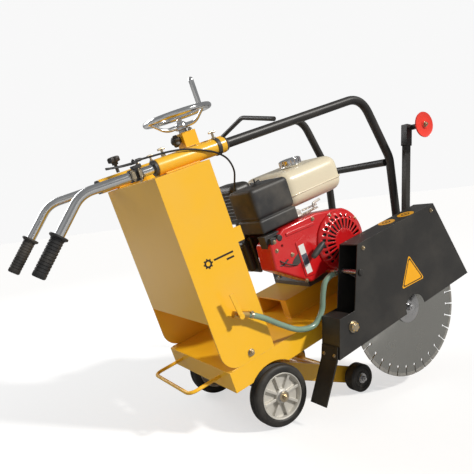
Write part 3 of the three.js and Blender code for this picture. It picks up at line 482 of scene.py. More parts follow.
bar_low, bar_high = span("rear_lift_bar")
bar_z = (bar_low.z + bar_high.z) / 2
bar_in = bar_high.y - 6
bm = bmesh.new()
sweep(bm, bent([(-0.3, -bar_in, bar_z), (bar_low.x + 6, -bar_in, bar_z), (bar_low.x + 6, bar_in, bar_z),
                (-0.3, bar_in, bar_z)], 30), 6, 20)
piece("rear_lift_bar_rod", bm, yellow, "chassis", replaces=["rear_lift_bar"])

# ---- Running gear --------------------------------------------------------------------------------
# Solid rubber tyres on cast aluminium wheels with ribbed spokes at the back, and smaller
# moulded wheels on the lift frame's axle in front.
moulded = finish("black_plastic", (0.030, 0.030, 0.031), 0.46, grain=(900.0, 0.0006), patches=(10.0, 0.15),
                 dust=0.14,
                 wear=(0.3, (0.10, 0.10, 0.10), False))
tyre_rubber = finish("tyre_rubber", (0.018, 0.017, 0.016), 0.55, grain=(260.0, 0.0008), patches=(11.0, 0.3),
                     dust=0.16,
                     dust_colour=(0.20, 0.18, 0.15))
dress(steel, "rear_axle", "pivot_shaft")


def ring_arc(cx, cz, radius, start, stop, steps):
    """Points of an arc in the x-z plane, in degrees."""
    angles = [math.radians(start + (stop - start) * i / steps) for i in range(steps + 1)]
    return [(cx + radius * math.cos(a), cz + radius * math.sin(a)) for a in angles]


def plate(bm, outline, y0, y1):
    """A flat plate with its outline in x and z, between two y values."""
    near = [bm.verts.new((x, y0, z)) for x, z in outline]
    far = [bm.verts.new((x, y1, z)) for x, z in outline]
    count = len(outline)
    bm.faces.new(near)
    bm.faces.new(far[::-1])
    for i in range(count):
        nxt = (i + 1) % count
        bm.faces.new((near[i], far[i], far[nxt], near[nxt]))


for hand, outward in (("right", -1), ("left", 1)):
    hub = middle(f"rear_tyre_{hand}")
    low, high = span(f"rear_tyre_{hand}")
    radius = (high.x - low.x) / 2
    half = (high.y - low.y) / 2
    inner = 76
    out = (0, outward, 0)
    bm = bmesh.new()
    profile = [(-half + 3, inner), (-half, inner + 4), (-half, inner + 11), (-half + 1, radius - 8),
               (-half + 4, radius - 3), (-half + 9, radius - 0.6), (-half + 14, radius)]
    for groove in (-0.28, 0.0, 0.28):
        centre = groove * 2 * half * 0.5
        profile += [(centre - 2.4, radius), (centre - 1.4, radius - 2.6), (centre + 1.4, radius - 2.6),
                    (centre + 2.4, radius)]
    profile += [(half - 14, radius), (half - 9, radius - 0.6), (half - 4, radius - 3), (half - 1, radius - 8),
                (half, inner + 11), (half, inner + 4), (half - 3, inner), (-half + 3, inner)]
    turn_piece(bm, profile, hub, out, 96)
    piece(f"rear_tyre_{hand}_rubber", bm, tyre_rubber, f"rear_wheel_{hand}",
          replaces=[f"rear_tyre_{hand}"])

    bm = bmesh.new()
    turn_piece(bm, [(-half + 2, inner - 0.3), (half - 1, inner - 0.3), (half - 1, inner - 4),
                    (half - 8, inner - 8),
                    (-half + 8, inner - 8), (-half + 2, inner - 4), (-half + 2, inner - 0.3)], hub, out, 80)
    turn_piece(bm, [(-half, 12.9), (-half, 24), (half - 5, 24), (half - 1, 21), (half, 19), (half, 12.9),
                    (-half, 12.9)],
               hub, out, 48)
    turn_piece(bm, [(-4, 20), (12, 20), (9, 34), (9, inner - 6), (-2.5, inner - 6), (-4, 20)], hub, out, 64)
    for spoke in range(8):
        lean = 45 * spoke
        for side_y in (6, -4 - 14):
            wide = ring_arc(hub.x, hub.z, 22, lean - 10, lean + 10, 3)
            narrow = ring_arc(hub.x, hub.z, inner - 7, lean + 4, lean - 4, 3)
            y_values = sorted((hub.y + outward * side_y, hub.y + outward * (side_y + 14)))
            plate(bm, wide + narrow, *y_values)
    piece(f"rear_rim_{hand}_casting", bm, cast, f"rear_wheel_{hand}", bevel=1.2, angle=32,
          replaces=[f"rear_rim_{hand}"])

    bm = bmesh.new()
    end_y = span("rear_axle")[0 if outward < 0 else 1].y
    tip = (hub.x, end_y, hub.z)
    turn_piece(bm, [(-1.5, 0), (-1.5, 17), (1.6, 17), (2.6, 10), (2.6, 0)], tip, out, 32)
    hex_bolt(bm, (hub.x, end_y + outward * 1.5, hub.z), out, 15, washer=False)
    piece(f"rear_axle_cap_{hand}", bm, zinc, "chassis", bevel=0.4)

    hub = middle(f"front_wheel_{hand}")
    low, high = span(f"front_wheel_{hand}")
    radius = (high.x - low.x) / 2
    half = (high.y - low.y) / 2
    bm = bmesh.new()
    turn_piece(bm, [(-half + 2, 33), (-half, 35), (-half, radius - 6), (-half + 5, radius),
                    (half - 5, radius),
                    (half, radius - 6), (half, 35), (half - 2, 33), (-half + 2, 33)], hub, out, 72)
    piece(f"front_wheel_{hand}_tread", bm, tyre_rubber, f"front_wheel_{hand}",
          replaces=[f"front_wheel_{hand}"])
    bm = bmesh.new()
    turn_piece(bm, [(-half + 2, 32.8), (half - 2, 32.8), (half - 2, 30), (half - 4, 29), (half - 4, 26),
                    (half - 2, 25),
                    (half - 2, 22), (half - 6, 21), (half - 6, 18.3), (-half + 6, 18.3), (-half + 6, 21),
                    (-half + 2, 22), (-half + 2, 32.8)], hub, out, 64)
    piece(f"front_wheel_{hand}_hub", bm, moulded, f"front_wheel_{hand}", bevel=0.5)
    bm = bmesh.new()
    turn_piece(bm, [(-half + 2, 18.2), (half - 1, 18.2), (half - 1, 15.5), (half - 4, 15), (half - 4, 12.9),
                    (-half + 2, 12.9), (-half + 2, 18.2)], hub, out, 48)
    piece(f"front_bearing_{hand}", bm, steel, f"front_wheel_{hand}", bevel=0.3)
    bm = bmesh.new()
    hex_bolt(bm, (hub.x, outward * 220.3, hub.z), out, 17)
    turn_piece(bm, [(-1.5, 0), (-1.5, 15), (0.4, 15), (0.4, 0)], (hub.x, outward * 222.2, hub.z), out, 32)
    piece(f"front_axle_nut_{hand}", bm, steel, "lift_frame", bevel=0.4)

# ---- Column and water tank -----------------------------------------------------------------------
# A full-width folded box that holds the cooling water, standing on the deck on its side plates.
# Its filler has a moulded screw cap. The markings are plain generic bars.
marking = finish("black_marking", (0.02, 0.018, 0.016), 0.35, grain=(200.0, 0.0001), patches=(40.0, 0.1))
cap_base = middle("tank_cap")
cap_low, cap_high = span("tank_cap")
cap_radius = (cap_high.x - cap_low.x) / 2
bm = bmesh.new()
cap_floor = (cap_base.x, cap_base.y, cap_low.z)
turn_piece(bm, [(0, 0), (0, 22), (10.3, 22), (10.3, cap_radius - 2), (12, cap_radius - 1.2),
                (21, cap_radius - 1.2),
                (25, cap_radius - 4), (26, cap_radius - 8), (24, cap_radius - 10), (24, 0)], cap_floor, UP,
                72)
for rib in range(24):
    angle = 2 * math.pi * rib / 24
    foot = Vector((cap_base.x + (cap_radius - 1) * math.cos(angle),
                   cap_base.y + (cap_radius - 1) * math.sin(angle),
                   cap_low.z + 11.5))
    sweep(bm, [foot, foot + Vector((0, 0, 10))], 1.3, 8)
piece("tank_cap_moulding", bm, moulded, "tank_cap", bevel=0.5, replaces=["tank_cap"])

bm = bmesh.new()
mark_x, mark_z = 58, 342
turn_piece(bm, [(-0.2, 7), (0.3, 7), (0.3, 13), (-0.2, 13), (-0.2, 7)], (mark_x, -DECK_EDGE, mark_z), RIGHT,
           36)
for tooth in range(8):
    angle = math.pi * tooth / 4
    outline = [(mark_x + r * math.cos(angle + s), mark_z + r * math.sin(angle + s))
               for r, s in ((12, -0.2), (16.5, -0.13), (16.5, 0.13), (12, 0.2))]
    plate(bm, outline, -DECK_EDGE - 0.3, -DECK_EDGE + 0.2)
for row, (start, stop) in enumerate(((80, 152), (122, 150))):
    z = mark_z + 3 - row * 15
    plate(bm, [(start, z - 3), (stop, z - 3), (stop, z + 3), (start, z + 3)], -DECK_EDGE - 0.3,
          -DECK_EDGE + 0.2)
piece("column_marking", bm, marking, "chassis", angle=40)
bolts("column_foot_bolts", "chassis", [(94, -DECK_EDGE, 24)], RIGHT, 15)
bolts("column_foot_bolts_left", "chassis", [(94, DECK_EDGE, 24), (40, DECK_EDGE, 90)], LEFT_SIDE, 13)
bolts("column_inner_nuts", "chassis", [(120, -DECK_EDGE + 5, 60), (60, -DECK_EDGE + 5, 110)], LEFT_SIDE, 13)

# ---- Handle sockets, clamps and frame tubes ------------------------------------------------------
# Yellow tube sockets welded on the column, the black roll frame that runs forward from them to
# the deck's front corners, its crossbar, and the lifting bail.
for hand, outward in (("right", -1), ("left", 1)):
    low, high = span(f"handle_socket_{hand}")
    y = (low.y + high.y) / 2
    bm = bmesh.new()
    turn_piece(bm, [(0, 16.4), (0, 23.5), (1.5, 25), (high.x - low.x - 1.5, 25), (high.x - low.x, 23.5),
                    (high.x - low.x, 16.4), (0, 16.4)], (low.x, y, TUBE_Z), FORE, 64)
    foot = (max(low.x, 0) + 20, 165)
    z_low = low.z
    plate(bm, [(foot[0], z_low), (foot[1], z_low), (foot[1], TUBE_Z - 22), (foot[0], TUBE_Z - 22)], y - 13,
          y + 13)
    piece(f"handle_socket_{hand}_tube", bm, yellow, "chassis", bevel=0.8,
          replaces=[f"handle_socket_{hand}"])

    bm = bmesh.new()
    band_x = high.x - 34
    turn_piece(bm, [(0, 25.1), (0, 27.6), (13, 27.6), (13, 25.1), (0, 25.1)], (band_x, y, TUBE_Z), FORE, 56)
    turn_piece(bm, [(-1.5, 14.2), (-1.5, 24), (7, 24), (7, 14.2), (-1.5, 14.2)], (low.x - 7.5, y, TUBE_Z),
               FORE, 56)
    turn_piece(bm, [(0.5, 16.3), (0.5, 24), (8, 22), (8, 16.3), (0.5, 16.3)], (high.x, y, TUBE_Z), FORE, 56)
    piece(f"clamp_bands_{hand}", bm, moulded, "chassis", bevel=0.4)

    screws = [band_x + 6.5] if hand == "left" else [band_x + 6.5, 61]
    bm = bmesh.new()
    for x in screws:
        top = TUBE_Z + 27.5
        turn_piece(bm, [(-3, 0), (-3, 7), (4, 7), (4, 4), (18, 4), (18, 0)], (x, y, top), UP, 20)
        sweep(bm, [(x - 12, y, top + 19), (x - 5, y, top + 20.5), (x + 5, y, top + 20.5),
                   (x + 12, y, top + 19)], 3.2, 14)
    piece(f"clamp_screws_{hand}", bm, zinc, "chassis", bevel=0.3)

    low, high = span(f"frame_tube_{hand}")
    y = outward * 183.5
    rear = low.x
    bm = bmesh.new()
    sweep(bm, bent([(rear, y, TUBE_Z), (904, y, TUBE_Z), (964, y, 404), (917, y, 191), (873, y, 6)], 90,
                   14), 16, 36)
    plate(bm, [(838, 0.3), (896, 0.3), (896, 6.3), (838, 6.3)], y - 30, y + 30)
    piece(f"frame_tube_{hand}_black", bm, black, "chassis", replaces=[f"frame_tube_{hand}"])
    bolts(f"frame_foot_bolts_{hand}", "chassis", [(850, y - 18, 6.3), (850, y + 18, 6.3)], UP, 13)

bm = bmesh.new()
cross = middle("frame_crossbar")
sweep(bm, [(cross.x, -169.5, cross.z), (cross.x, 169.5, cross.z)], 14, 32)
piece("frame_crossbar_tube", bm, black, "chassis", replaces=["frame_crossbar"])
bail_low, bail_high = span("lifting_bail")
bail_x = (bail_low.x + bail_high.x) / 2
bail_foot = TUBE_Z + 24.8
bm = bmesh.new()
sweep(bm, bent([(bail_x, -183.5, bail_foot), (bail_x, 0, 729), (bail_x, 183.5, bail_foot)], 60), 8, 24)
piece("lifting_bail_rod", bm, black, "chassis", replaces=["lifting_bail"])

# ---- Depth jack ----------------------------------------------------------------------------------
# A threaded screw inside a yellow tube, turned by a chromed handwheel with a spinner rod. It
# pushes the ram down on the lift frame and so sets how deep the blade cuts.
dress(steel, "jack_ram", "lift_screw")
wheel_high = span("handwheel")[1]
wheel = middle("handwheel")
rim_radius, rim_tube = 112, 10.3
rim_z = wheel_high.z - 10
hub_z = 764
bm = bmesh.new()
rim_path = [(wheel.x + rim_radius * math.cos(a), rim_radius * math.sin(a) + wheel.y, rim_z)
            for a in (2 * math.pi * i / 96 for i in range(97))]
sweep(bm, rim_path, rim_tube, 24, caps=False)
bmesh.ops.remove_doubles(bm, verts=bm.verts[:], dist=0.01)
turn_piece(bm, [(-12, 0), (-12, 20), (-10, 22), (6, 22), (9, 20), (13, 15), (14, 13), (14, 0)],
           (wheel.x, wheel.y, hub_z), UP, 48)
hex_bolt(bm, (wheel.x, wheel.y, hub_z + 13.5), UP, 17)
for spoke in range(3):
    angle = math.pi / 3 + 2 * math.pi * spoke / 3

    def at(radius, z):
        return (wheel.x + radius * math.cos(angle), wheel.y + radius * math.sin(angle), z)

    sweep(bm, bent([at(12, hub_z), at(62, hub_z - 2), at(rim_radius, rim_z)], 60),
          lambda share: 9 - 3 * share, 20,
          squeeze=0.8)
piece("handwheel_chromed", bm, chrome, "handwheel", replaces=["handwheel"])

spin = middle("handwheel_spinner")
spin_low, spin_high = span("handwheel_spinner")
bm = bmesh.new()
height = spin_high.z - spin_low.z
turn_piece(bm, [(0, 0), (0, 6), (6, 6.4), (10, 9), (14, 9.4), (height - 14, 9.4), (height - 6, 8.4),
                (height - 2, 6),
                (height, 3), (height, 0)], (spin.x, spin.y, spin_low.z), UP, 36)
piece("handwheel_spinner_rod", bm, chrome, "spinner", replaces=["handwheel_spinner"])


def star_knob(bm, centre, direction, radius, height, lobes=6):
    """A moulded knob with round lobes and a domed top."""
    along, first, second = frame_of(direction)
    base = Vector(centre)
    rings = []
    for share, size in ((0, 0.5), (0.28, 0.52), (0.34, 0.9), (0.42, 1.0), (0.82, 1.0), (0.94, 0.9),
                        (1.0, 0.6)):
        ring = []
        for turn in range(72):
            angle = 2 * math.pi * turn / 72
            lobed = 1.0 if share < 0.3 else 0.84 + 0.16 * math.cos(lobes * angle)
            reach = radius * size * lobed
            ring.append(bm.verts.new(base + along * height * share
                                     + (first * math.cos(angle) + second * math.sin(angle)) * reach))
        rings.append(ring)
    for low_ring, high_ring in zip(rings, rings[1:]):
        for turn in range(72):
            nxt = (turn + 1) % 72
            bm.faces.new((low_ring[turn], low_ring[nxt], high_ring[nxt], high_ring[turn]))
    bm.faces.new(rings[0][::-1])
    bm.faces.new(rings[-1])


knob_high = span("head_lock_knob")[1]
knob = middle("head_lock_knob")
bm = bmesh.new()
star_knob(bm, (knob_high.x, knob.y, knob.z), AFT, 21, 26)
turn_piece(bm, [(26, 0), (26, 12), (30, 11), (33, 6), (33, 0)], (knob_high.x, knob.y, knob.z), AFT, 32)
piece("head_lock_knob_moulding", bm, moulded, "head_lock_knob", replaces=["head_lock_knob"])
knob_low, knob_high = span("socket_lock_knob_left")
knob = middle("socket_lock_knob_left")
bm = bmesh.new()
star_knob(bm, (knob.x, knob.y, knob_high.z - 30), UP, 22, 30)
turn_piece(bm, [(0, 0), (0, 6), (30, 6), (30, 0)], (knob.x, knob.y, knob_low.z), UP, 20)
piece("socket_lock_knob_moulding", bm, moulded, "socket_lock_knob",
      replaces=["socket_lock_knob_left"])
head_high = span("lift_head")[1]
bolts("head_bolts", "chassis", [(262, y, head_high.z) for y in (-18, 18)], UP, 13)
bm = bmesh.new()
weld(bm, (222, -28, 690.5), (274, -28, 690.5))
weld(bm, (222, 28, 690.5), (274, 28, 690.5))
piece("head_welds", bm, yellow, "chassis", angle=50)

# ---- Handlebars ----------------------------------------------------------------------------------
# Chromed tube bent down to two ribbed rubber grips, sliding in the sockets.
grip_rubber = finish("grip_rubber", (0.016, 0.016, 0.017), 0.55, grain=(800.0, 0.0007), patches=(14.0, 0.2),
                     dust=0.12)
GRIP_ANGLE = math.radians(42.3)
for hand, outward in (("right", -1), ("left", 1)):
    low, high = span(f"handlebar_{hand}")
    y = (low.y + high.y) / 2
    bend_x = high.x - 331

    def down_bar(distance):
        return (bend_x - distance * math.cos(GRIP_ANGLE), y, TUBE_Z - distance * math.sin(GRIP_ANGLE))

    bm = bmesh.new()
    sweep(bm, bent([(high.x, y, TUBE_Z), (bend_x, y, TUBE_Z), down_bar(126 + 116)], 90, 16), 14, 40)
    piece(f"handlebar_{hand}_chromed", bm, chrome, f"handlebar_{hand}",
          replaces=[f"handlebar_{hand}"])
    bm = bmesh.new()
    profile = [(0, 14.2), (0, 26), (2, 26.5), (5, 26.5), (7, 24), (10, 19.5)]
    for rib in range(11):
        start = 14 + rib * 9
        profile += [(start, 19), (start + 1.2, 17.6), (start + 2.4, 17.6), (start + 3.6, 19)]
    profile += [(118, 19), (121, 17), (122, 14), (122, 0)]
    turn_piece(bm, profile, down_bar(126), (-math.cos(GRIP_ANGLE), 0, -math.sin(GRIP_ANGLE)), 56)
    piece(f"grip_{hand}_rubber", bm, grip_rubber, f"handlebar_{hand}", replaces=[f"grip_{hand}"])

lever_x = lever_high.x - 11
bm = bmesh.new()
turn_piece(bm, [(-11, 14.1), (-11, 19), (11, 19), (11, 14.1), (-11, 14.1)], (lever_x, bar_y, TUBE_Z), FORE,
           48)
turn_piece(bm, [(-26, 14.1), (-26, 18.5), (-17, 18.5), (-17, 14.1), (-26, 14.1)], (lever_x, bar_y, TUBE_Z),
           FORE, 48)
plate(bm, [(lever_x - 12, TUBE_Z + 17), (lever_x + 16, TUBE_Z + 17), (lever_x + 16, TUBE_Z + 27),
           (lever_x - 12, TUBE_Z + 27)], bar_y - 10, bar_y + 10)
turn_piece(bm, [(0, 0), (0, 5), (14, 5), (20, 3.4), (20, 0)], (lever_x + 8, bar_y, 699), FORE, 20)
piece("throttle_bracket", bm, moulded, "handlebar_right", bevel=1.0)
bolts("throttle_clamp_bolt", "handlebar_right", [(lever_x, bar_y - 9, TUBE_Z - 17)], DOWN, 8)
bm = bmesh.new()
for x in (lever_x - 21, lever_x):
    plate(bm, [(x - 5, TUBE_Z - 9), (x + 5, TUBE_Z - 9), (x + 5, TUBE_Z + 9), (x - 5, TUBE_Z + 9)],
          bar_y - 27, bar_y - 16)
    hex_bolt(bm, (x, bar_y - 21, TUBE_Z + 9), UP, 8)
    hex_bolt(bm, (x, bar_y - 21, TUBE_Z - 9), DOWN, 8)
hex_bolt(bm, (lever_x + 10, bar_y, TUBE_Z + 27), UP, 8)
piece("throttle_clamp_ears", bm, zinc, "handlebar_right", bevel=0.4)
bm = bmesh.new()
lever_base = (lever_x, bar_y, lever_low.z)
turn_piece(bm, [(0, 0), (0, 11), (6, 11), (7.5, 9), (7.5, 0)], lever_base, UP, 32)
lever_path = smooth_path([(lever_x - 6, bar_y, lever_low.z + 4), (lever_x - 36, bar_y + 4, lever_low.z + 6),
                          (lever_x - 62, bar_y + 2, lever_low.z + 9),
                          (lever_x - 84, bar_y - 2, lever_low.z + 12)])
sweep(bm, lever_path, lambda share: 4.6 - 1.2 * share + 2.0 * max(0.0, share - 0.8) * 5 * 0.5, 18,
      squeeze=0.7)
hex_bolt(bm, (lever_x, bar_y, lever_low.z + 7), UP, 9)
piece("throttle_lever_arm", bm, moulded, "throttle_lever", replaces=["throttle_lever"])

# ---- Engine --------------------------------------------------------------------------------------
# An air-cooled single cylinder petrol engine: cast crankcase and finned cylinder, red pressed
# steel fan shroud with the recoil starter on it, cream fuel tank, black air cleaner and muffler.
dark_cast = finish("engine_casting", (0.13, 0.13, 0.128), 0.5, 0.6, grain=(700.0, 0.0009),
                   patches=(14.0, 0.25),
                   dust=0.2, wear=(0.4, (0.4, 0.4, 0.39), False))
red = finish("red_paint", (0.60, 0.008, 0.011), 0.26, grain=(160.0, 0.0003), patches=(6.0, 0.08), dust=0.06,
             wear=(0.25, (0.30, 0.02, 0.02), False), coat=0.5)
cream = finish("cream_paint", (0.79, 0.71, 0.53), 0.32, grain=(150.0, 0.0003), patches=(4.0, 0.06),
               dust=0.08, coat=0.3)
dress(dark_cast, "crankcase", "flywheel", "engine_pulley", "shaft_pulley")
dress(black, "cylinder")
crank = middle("recoil_cover")
FAN_RADIUS, RIB_RISE = 118, 3.5
face_y = span("fan_shroud")[0].y


def fan_outline(grow=0.0):
    """The shroud's side view: a round fan housing with a duct running back to the cylinder."""
    duct = [(520, 336 + grow), (372, 336 + grow), (300 - grow, 300), (292 - grow, 214), (420, 118 - grow)]
    return duct + ring_arc(crank.x, crank.z, FAN_RADIUS + grow, 222, 422, 40)


bm = bmesh.new()
plate(bm, fan_outline(), face_y, span("fan_shroud")[1].y)
piece("fan_shroud_pressing", bm, red, "chassis", bevel=9, bevel_segments=4,
      replaces=["fan_shroud"])
bm = bmesh.new()
plate(bm, [(398, 272), (440, 284), (438, 140), (398, 148)], face_y - RIB_RISE, face_y + 3)
plate(bm, [(372, 318), (500, 312), (500, 300), (372, 306)], face_y - RIB_RISE, face_y + 3)
piece("fan_shroud_ribs", bm, red, "chassis", bevel=2.5, bevel_segments=3)

cover_high = span("recoil_cover")[1]
bm = bmesh.new()
RADII = (108, 104, 92, 84, 78, 44, 38, 0)
DEPTHS = (0, 7, 13, 21, 23, 26, 24, 24)
SLOTS = 26
segments = SLOTS * 4
base_y = cover_high.y
rings = []
for radius, depth in zip(RADII[:-1], DEPTHS):
    rings.append([bm.verts.new((crank.x + radius * math.cos(2 * math.pi * t / segments), base_y - depth,
                                crank.z + radius * math.sin(2 * math.pi * t / segments)))
                                for t in range(segments)])
for index, (low_ring, high_ring) in enumerate(zip(rings, rings[1:])):
    for turn in range(segments):
        nxt = (turn + 1) % segments
        slotted = index in (2, 4) and turn % 4 in (1, 2)
        if index == 2 and not 0.12 < (turn / segments) % 1 < 0.6:
            slotted = False
        if not slotted:
            bm.faces.new((low_ring[turn], low_ring[nxt], high_ring[nxt], high_ring[turn]))
bm.faces.new(rings[-1])
cover = piece("recoil_cover_pressing", bm, red, "chassis", angle=38, replaces=["recoil_cover"])
skin = cover.modifiers.new("skin", "SOLIDIFY")
skin.thickness = 0.0018
skin.offset = -1
bm = bmesh.new()
turn_piece(bm, [(0, 0), (0, 102), (0.8, 102), (0.8, 0)], (crank.x, base_y - 0.6, crank.z), RIGHT, 64)
piece("recoil_inner_dark", bm, moulded, "chassis")
bolts("recoil_bolts", "chassis", [(crank.x + 103 * math.cos(a), base_y - 6.5, crank.z + 103 * math.sin(a))
                                  for a in (math.radians(d) for d in (30, 100, 170, 240, 310))], RIGHT, 8)

grip_low, grip_high = span("recoil_grip")
grip_mid = middle("recoil_grip")
bm = bmesh.new()
start, end = Vector((grip_low.x + 5, -240, grip_low.z + 9)), Vector((grip_high.x - 5, -240, grip_high.z - 9))
sweep(bm, [start.lerp(end, i / 20) for i in range(21)],
      lambda share: 7.5 + 4.0 * math.sin(math.pi * min(1, max(0, share))) ** 0.5, 24)
sweep(bm, [(grip_mid.x, -240, grip_mid.z), (grip_mid.x + 14, -227, grip_mid.z + 4)], 5.5, 18)
piece("recoil_grip_moulding", bm, moulded, "recoil_grip", replaces=["recoil_grip"])

label = finish("label_white", (0.78, 0.77, 0.74), 0.4, grain=(100.0, 0.0001), patches=(20.0, 0.05))
label_grey = finish("label_grey", (0.10, 0.10, 0.13), 0.4, grain=(100.0, 0.0001), patches=(20.0, 0.05))


def slanted(x, z, length, width, angle):
    """A slanted rectangle in the side view."""
    ca, sa = math.cos(math.radians(angle)), math.sin(math.radians(angle))
    return [(x + u * ca - v * sa, z + u * sa + v * ca)
            for u, v in ((-length / 2, -width / 2), (length / 2, -width / 2), (length / 2, width / 2),
                         (-length / 2, width / 2))]


bm = bmesh.new()
plate(bm, slanted(417, 207, 104, 24, -89), face_y - 4.4, face_y - 0.5)
piece("shroud_label", bm, label, "chassis")
bm = bmesh.new()
plate(bm, slanted(417, 206, 38, 22, -89), face_y - 4.9, face_y - 4)
piece("shroud_label_bar", bm, label_grey, "chassis")
bm = bmesh.new()
recess_turn = math.radians(22)
oval = [(36 * math.cos(a), 15 * math.sin(a)) for a in (2 * math.pi * i / 40 for i in range(40))]
plate(bm, [(396 + u * math.cos(recess_turn) - v * math.sin(recess_turn),
            218 + u * math.sin(recess_turn) + v * math.cos(recess_turn)) for u, v in oval], face_y - 0.8,
            face_y + 2)
piece("shroud_window_dark", bm, moulded, "chassis", bevel=0.5)


def soft_box(bm, low, high, corner, crown, steps=6):
    """A moulded or pressed box: rounded corners all round and slightly crowned faces."""
    low, high = Vector(low), Vector(high)
    centre, half = (low + high) / 2, (high - low) / 2
    cells = 4 * steps
    grid = {}

    def vertex(ix, iy, iz):
        key = (ix, iy, iz)
        if key not in grid:
            unit = Vector((2 * ix / cells - 1, 2 * iy / cells - 1, 2 * iz / cells - 1))
            eased = Vector([math.copysign(1 - (1 - abs(c)) ** 1.6, c) for c in unit])
            point = Vector([eased[i] * half[i] for i in range(3)])
            core = Vector([max(-half[i] + corner, min(half[i] - corner, point[i])) for i in range(3)])
            away = point - core
            if away.length > 1e-6:
                point = core + away.normalized() * corner
            swell = [1 - crown * (1 - (1 - (point[j] / half[j]) ** 2) * (1 - (point[k] / half[k]) ** 2))
                     for j, k in ((1, 2), (0, 2), (0, 1))]
            grid[key] = bm.verts.new(centre + Vector([point[i] * swell[i] for i in range(3)]))
        return grid[key]

    for axis in range(3):
        for side_at in (0, cells):
            for i in range(cells):
                for j in range(cells):
                    quad = []
                    for a, b in ((i, j), (i + 1, j), (i + 1, j + 1), (i, j + 1)):
                        key = [0, 0, 0]
                        key[axis] = side_at
                        key[(axis + 1) % 3] = a
                        key[(axis + 2) % 3] = b
                        quad.append(vertex(*key))
                    bm.faces.new(quad)


tank_low, tank_high = span("fuel_tank")
bm = bmesh.new()
soft_box(bm, tank_low, tank_high, 40, 0.025)
seam_z = 412
seam = []
for corner_x, corner_y, start in ((tank_high.x - 40, tank_high.y - 40, 0),
                                  (tank_low.x + 40, tank_high.y - 40, 90),
                                  (tank_low.x + 40, tank_low.y + 40, 180),
                                  (tank_high.x - 40, tank_low.y + 40, 270)):
    seam += [(corner_x + 39 * math.cos(math.radians(start + turn)),
              corner_y + 39 * math.sin(math.radians(start + turn)),
              seam_z) for turn in range(0, 91, 10)]
sweep(bm, seam + seam[:1], 2.4, 10, caps=False)
piece("fuel_tank_pressing", bm, cream, "chassis", angle=60, replaces=["fuel_tank"])

cap_low, cap_high = span("fuel_cap")
cap_mid = middle("fuel_cap")
bm = bmesh.new()
height = cap_high.z - 500
turn_piece(bm, [(0.3, 0), (0.3, 38), (3, 41), (6, 41.5), (8, 40), (height - 7, 41.5), (height - 3, 40),
                (height - 1, 35), (height, 26), (height - 2, 24), (height - 2, 0)],
                (cap_mid.x, cap_mid.y, 500), UP, 72)
for rib in range(18):
    angle = 2 * math.pi * rib / 18
    foot = Vector((cap_mid.x + 40.2 * math.cos(angle), cap_mid.y + 40.2 * math.sin(angle), 507))
    sweep(bm, [foot, foot + Vector((0, 0, height - 12))], 2.2, 10)
piece("fuel_cap_chromed", bm, chrome, "fuel_cap", replaces=["fuel_cap"])

air_low, air_high = span("air_cleaner")
bm = bmesh.new()
soft_box(bm, (air_low.x, air_low.y, 389), air_high, 15, 0.012)
soft_box(bm, (air_low.x + 2, air_low.y + 2, air_low.z), (air_high.x - 2, air_high.y - 2, 387.5), 9, 0.004)
soft_box(bm, (air_low.x + 9, air_low.y + 9, 372), (air_high.x - 9, air_high.y - 9, 402), 8, 0.0)
piece("air_cleaner_moulding", bm, moulded, "chassis", angle=50, replaces=["air_cleaner"])
bm = bmesh.new()
nut = ((air_low.x + air_high.x) / 2 - 6, -120, air_high.z - 3)
turn_piece(bm, [(0, 0), (0, 21), (4, 21), (6, 12), (10, 9), (12, 0)], nut, UP, 40)
sweep(bm, [(nut[0] - 20, nut[1], nut[2] + 14), (nut[0], nut[1], nut[2] + 9),
           (nut[0] + 20, nut[1], nut[2] + 14)], 4.5, 16,
      squeeze=0.6)
sweep(bm, [(nut[0], nut[1], nut[2] + 6), (nut[0], nut[1], nut[2] + 24)], 3, 14)
piece("air_cleaner_wing_nut", bm, moulded, "chassis", bevel=0.4)

muffler_low, muffler_high = span("muffler")
bm = bmesh.new()
soft_box(bm, muffler_low, muffler_high, 26, 0.03)
for row in range(9):
    z = muffler_low.z + 26 + row * 13
    sweep(bm, [(muffler_low.x - 0.5, 0, z), (muffler_low.x - 0.5, 128, z)], 2.4, 10)
piece("muffler_guard", bm, black, "chassis", angle=50, replaces=["muffler"])
bm = bmesh.new()
sweep(bm, smooth_path([(372, 60, 330), (366, 60, 350), (372, 60, 380)]), 13, 20)
piece("exhaust_pipe", bm, dark_cast, "chassis")

# Carburettor, governor lever, springs and switch box between the air cleaner and the shroud.
bm = bmesh.new()
plate(bm, [(404, 337), (452, 337), (452, 344), (404, 344)], -150, -92)
turn_piece(bm, [(0, 0), (0, 15), (26, 15), (30, 11), (30, 0)], (478, -140, 352), RIGHT, 32)
turn_piece(bm, [(0, 0), (0, 11), (36, 11), (36, 0)], (470, -128, 336), UP, 28)
sweep(bm, bent([(470, -168, 343), (520, -170, 340), (548, -168, 346)], 12), 3.5, 14)
sweep(bm, bent([(556, -160, 344), (556, -160, 362), (600, -150, 364)], 8), 4, 14)
piece("carburettor", bm, cast, "chassis", bevel=0.6)
bm = bmesh.new()
for coil_start, coil_end in (((482, -182, 346), (560, -178, 346)), ((500, -160, 354), (580, -150, 352))):
    a, b = Vector(coil_start), Vector(coil_end)
    turns = 16
    helix = []
    for i in range(turns * 10 + 1):
        angle = 2 * math.pi * i / 10
        helix.append(a.lerp(b, i / (turns * 10)) + Vector((0, 3.4 * math.cos(angle), 3.4 * math.sin(angle))))
    sweep(bm, helix, 0.7, 6)
piece("governor_springs", bm, zinc, "chassis")
bm = bmesh.new()
plate(bm, [(300, 252), (356, 246), (362, 333), (298, 333)], -190, -150)
plate(bm, [(306, 262), (330, 259), (334, 320), (310, 322)], -204, -188)
turn_piece(bm, [(0, 0), (0, 12), (14, 12), (18, 9), (18, 0)], (346, -190, 312), RIGHT, 32)
turn_piece(bm, [(0, 0), (0, 10), (12, 10), (15, 7), (15, 0)], (346, -190, 284), RIGHT, 32)
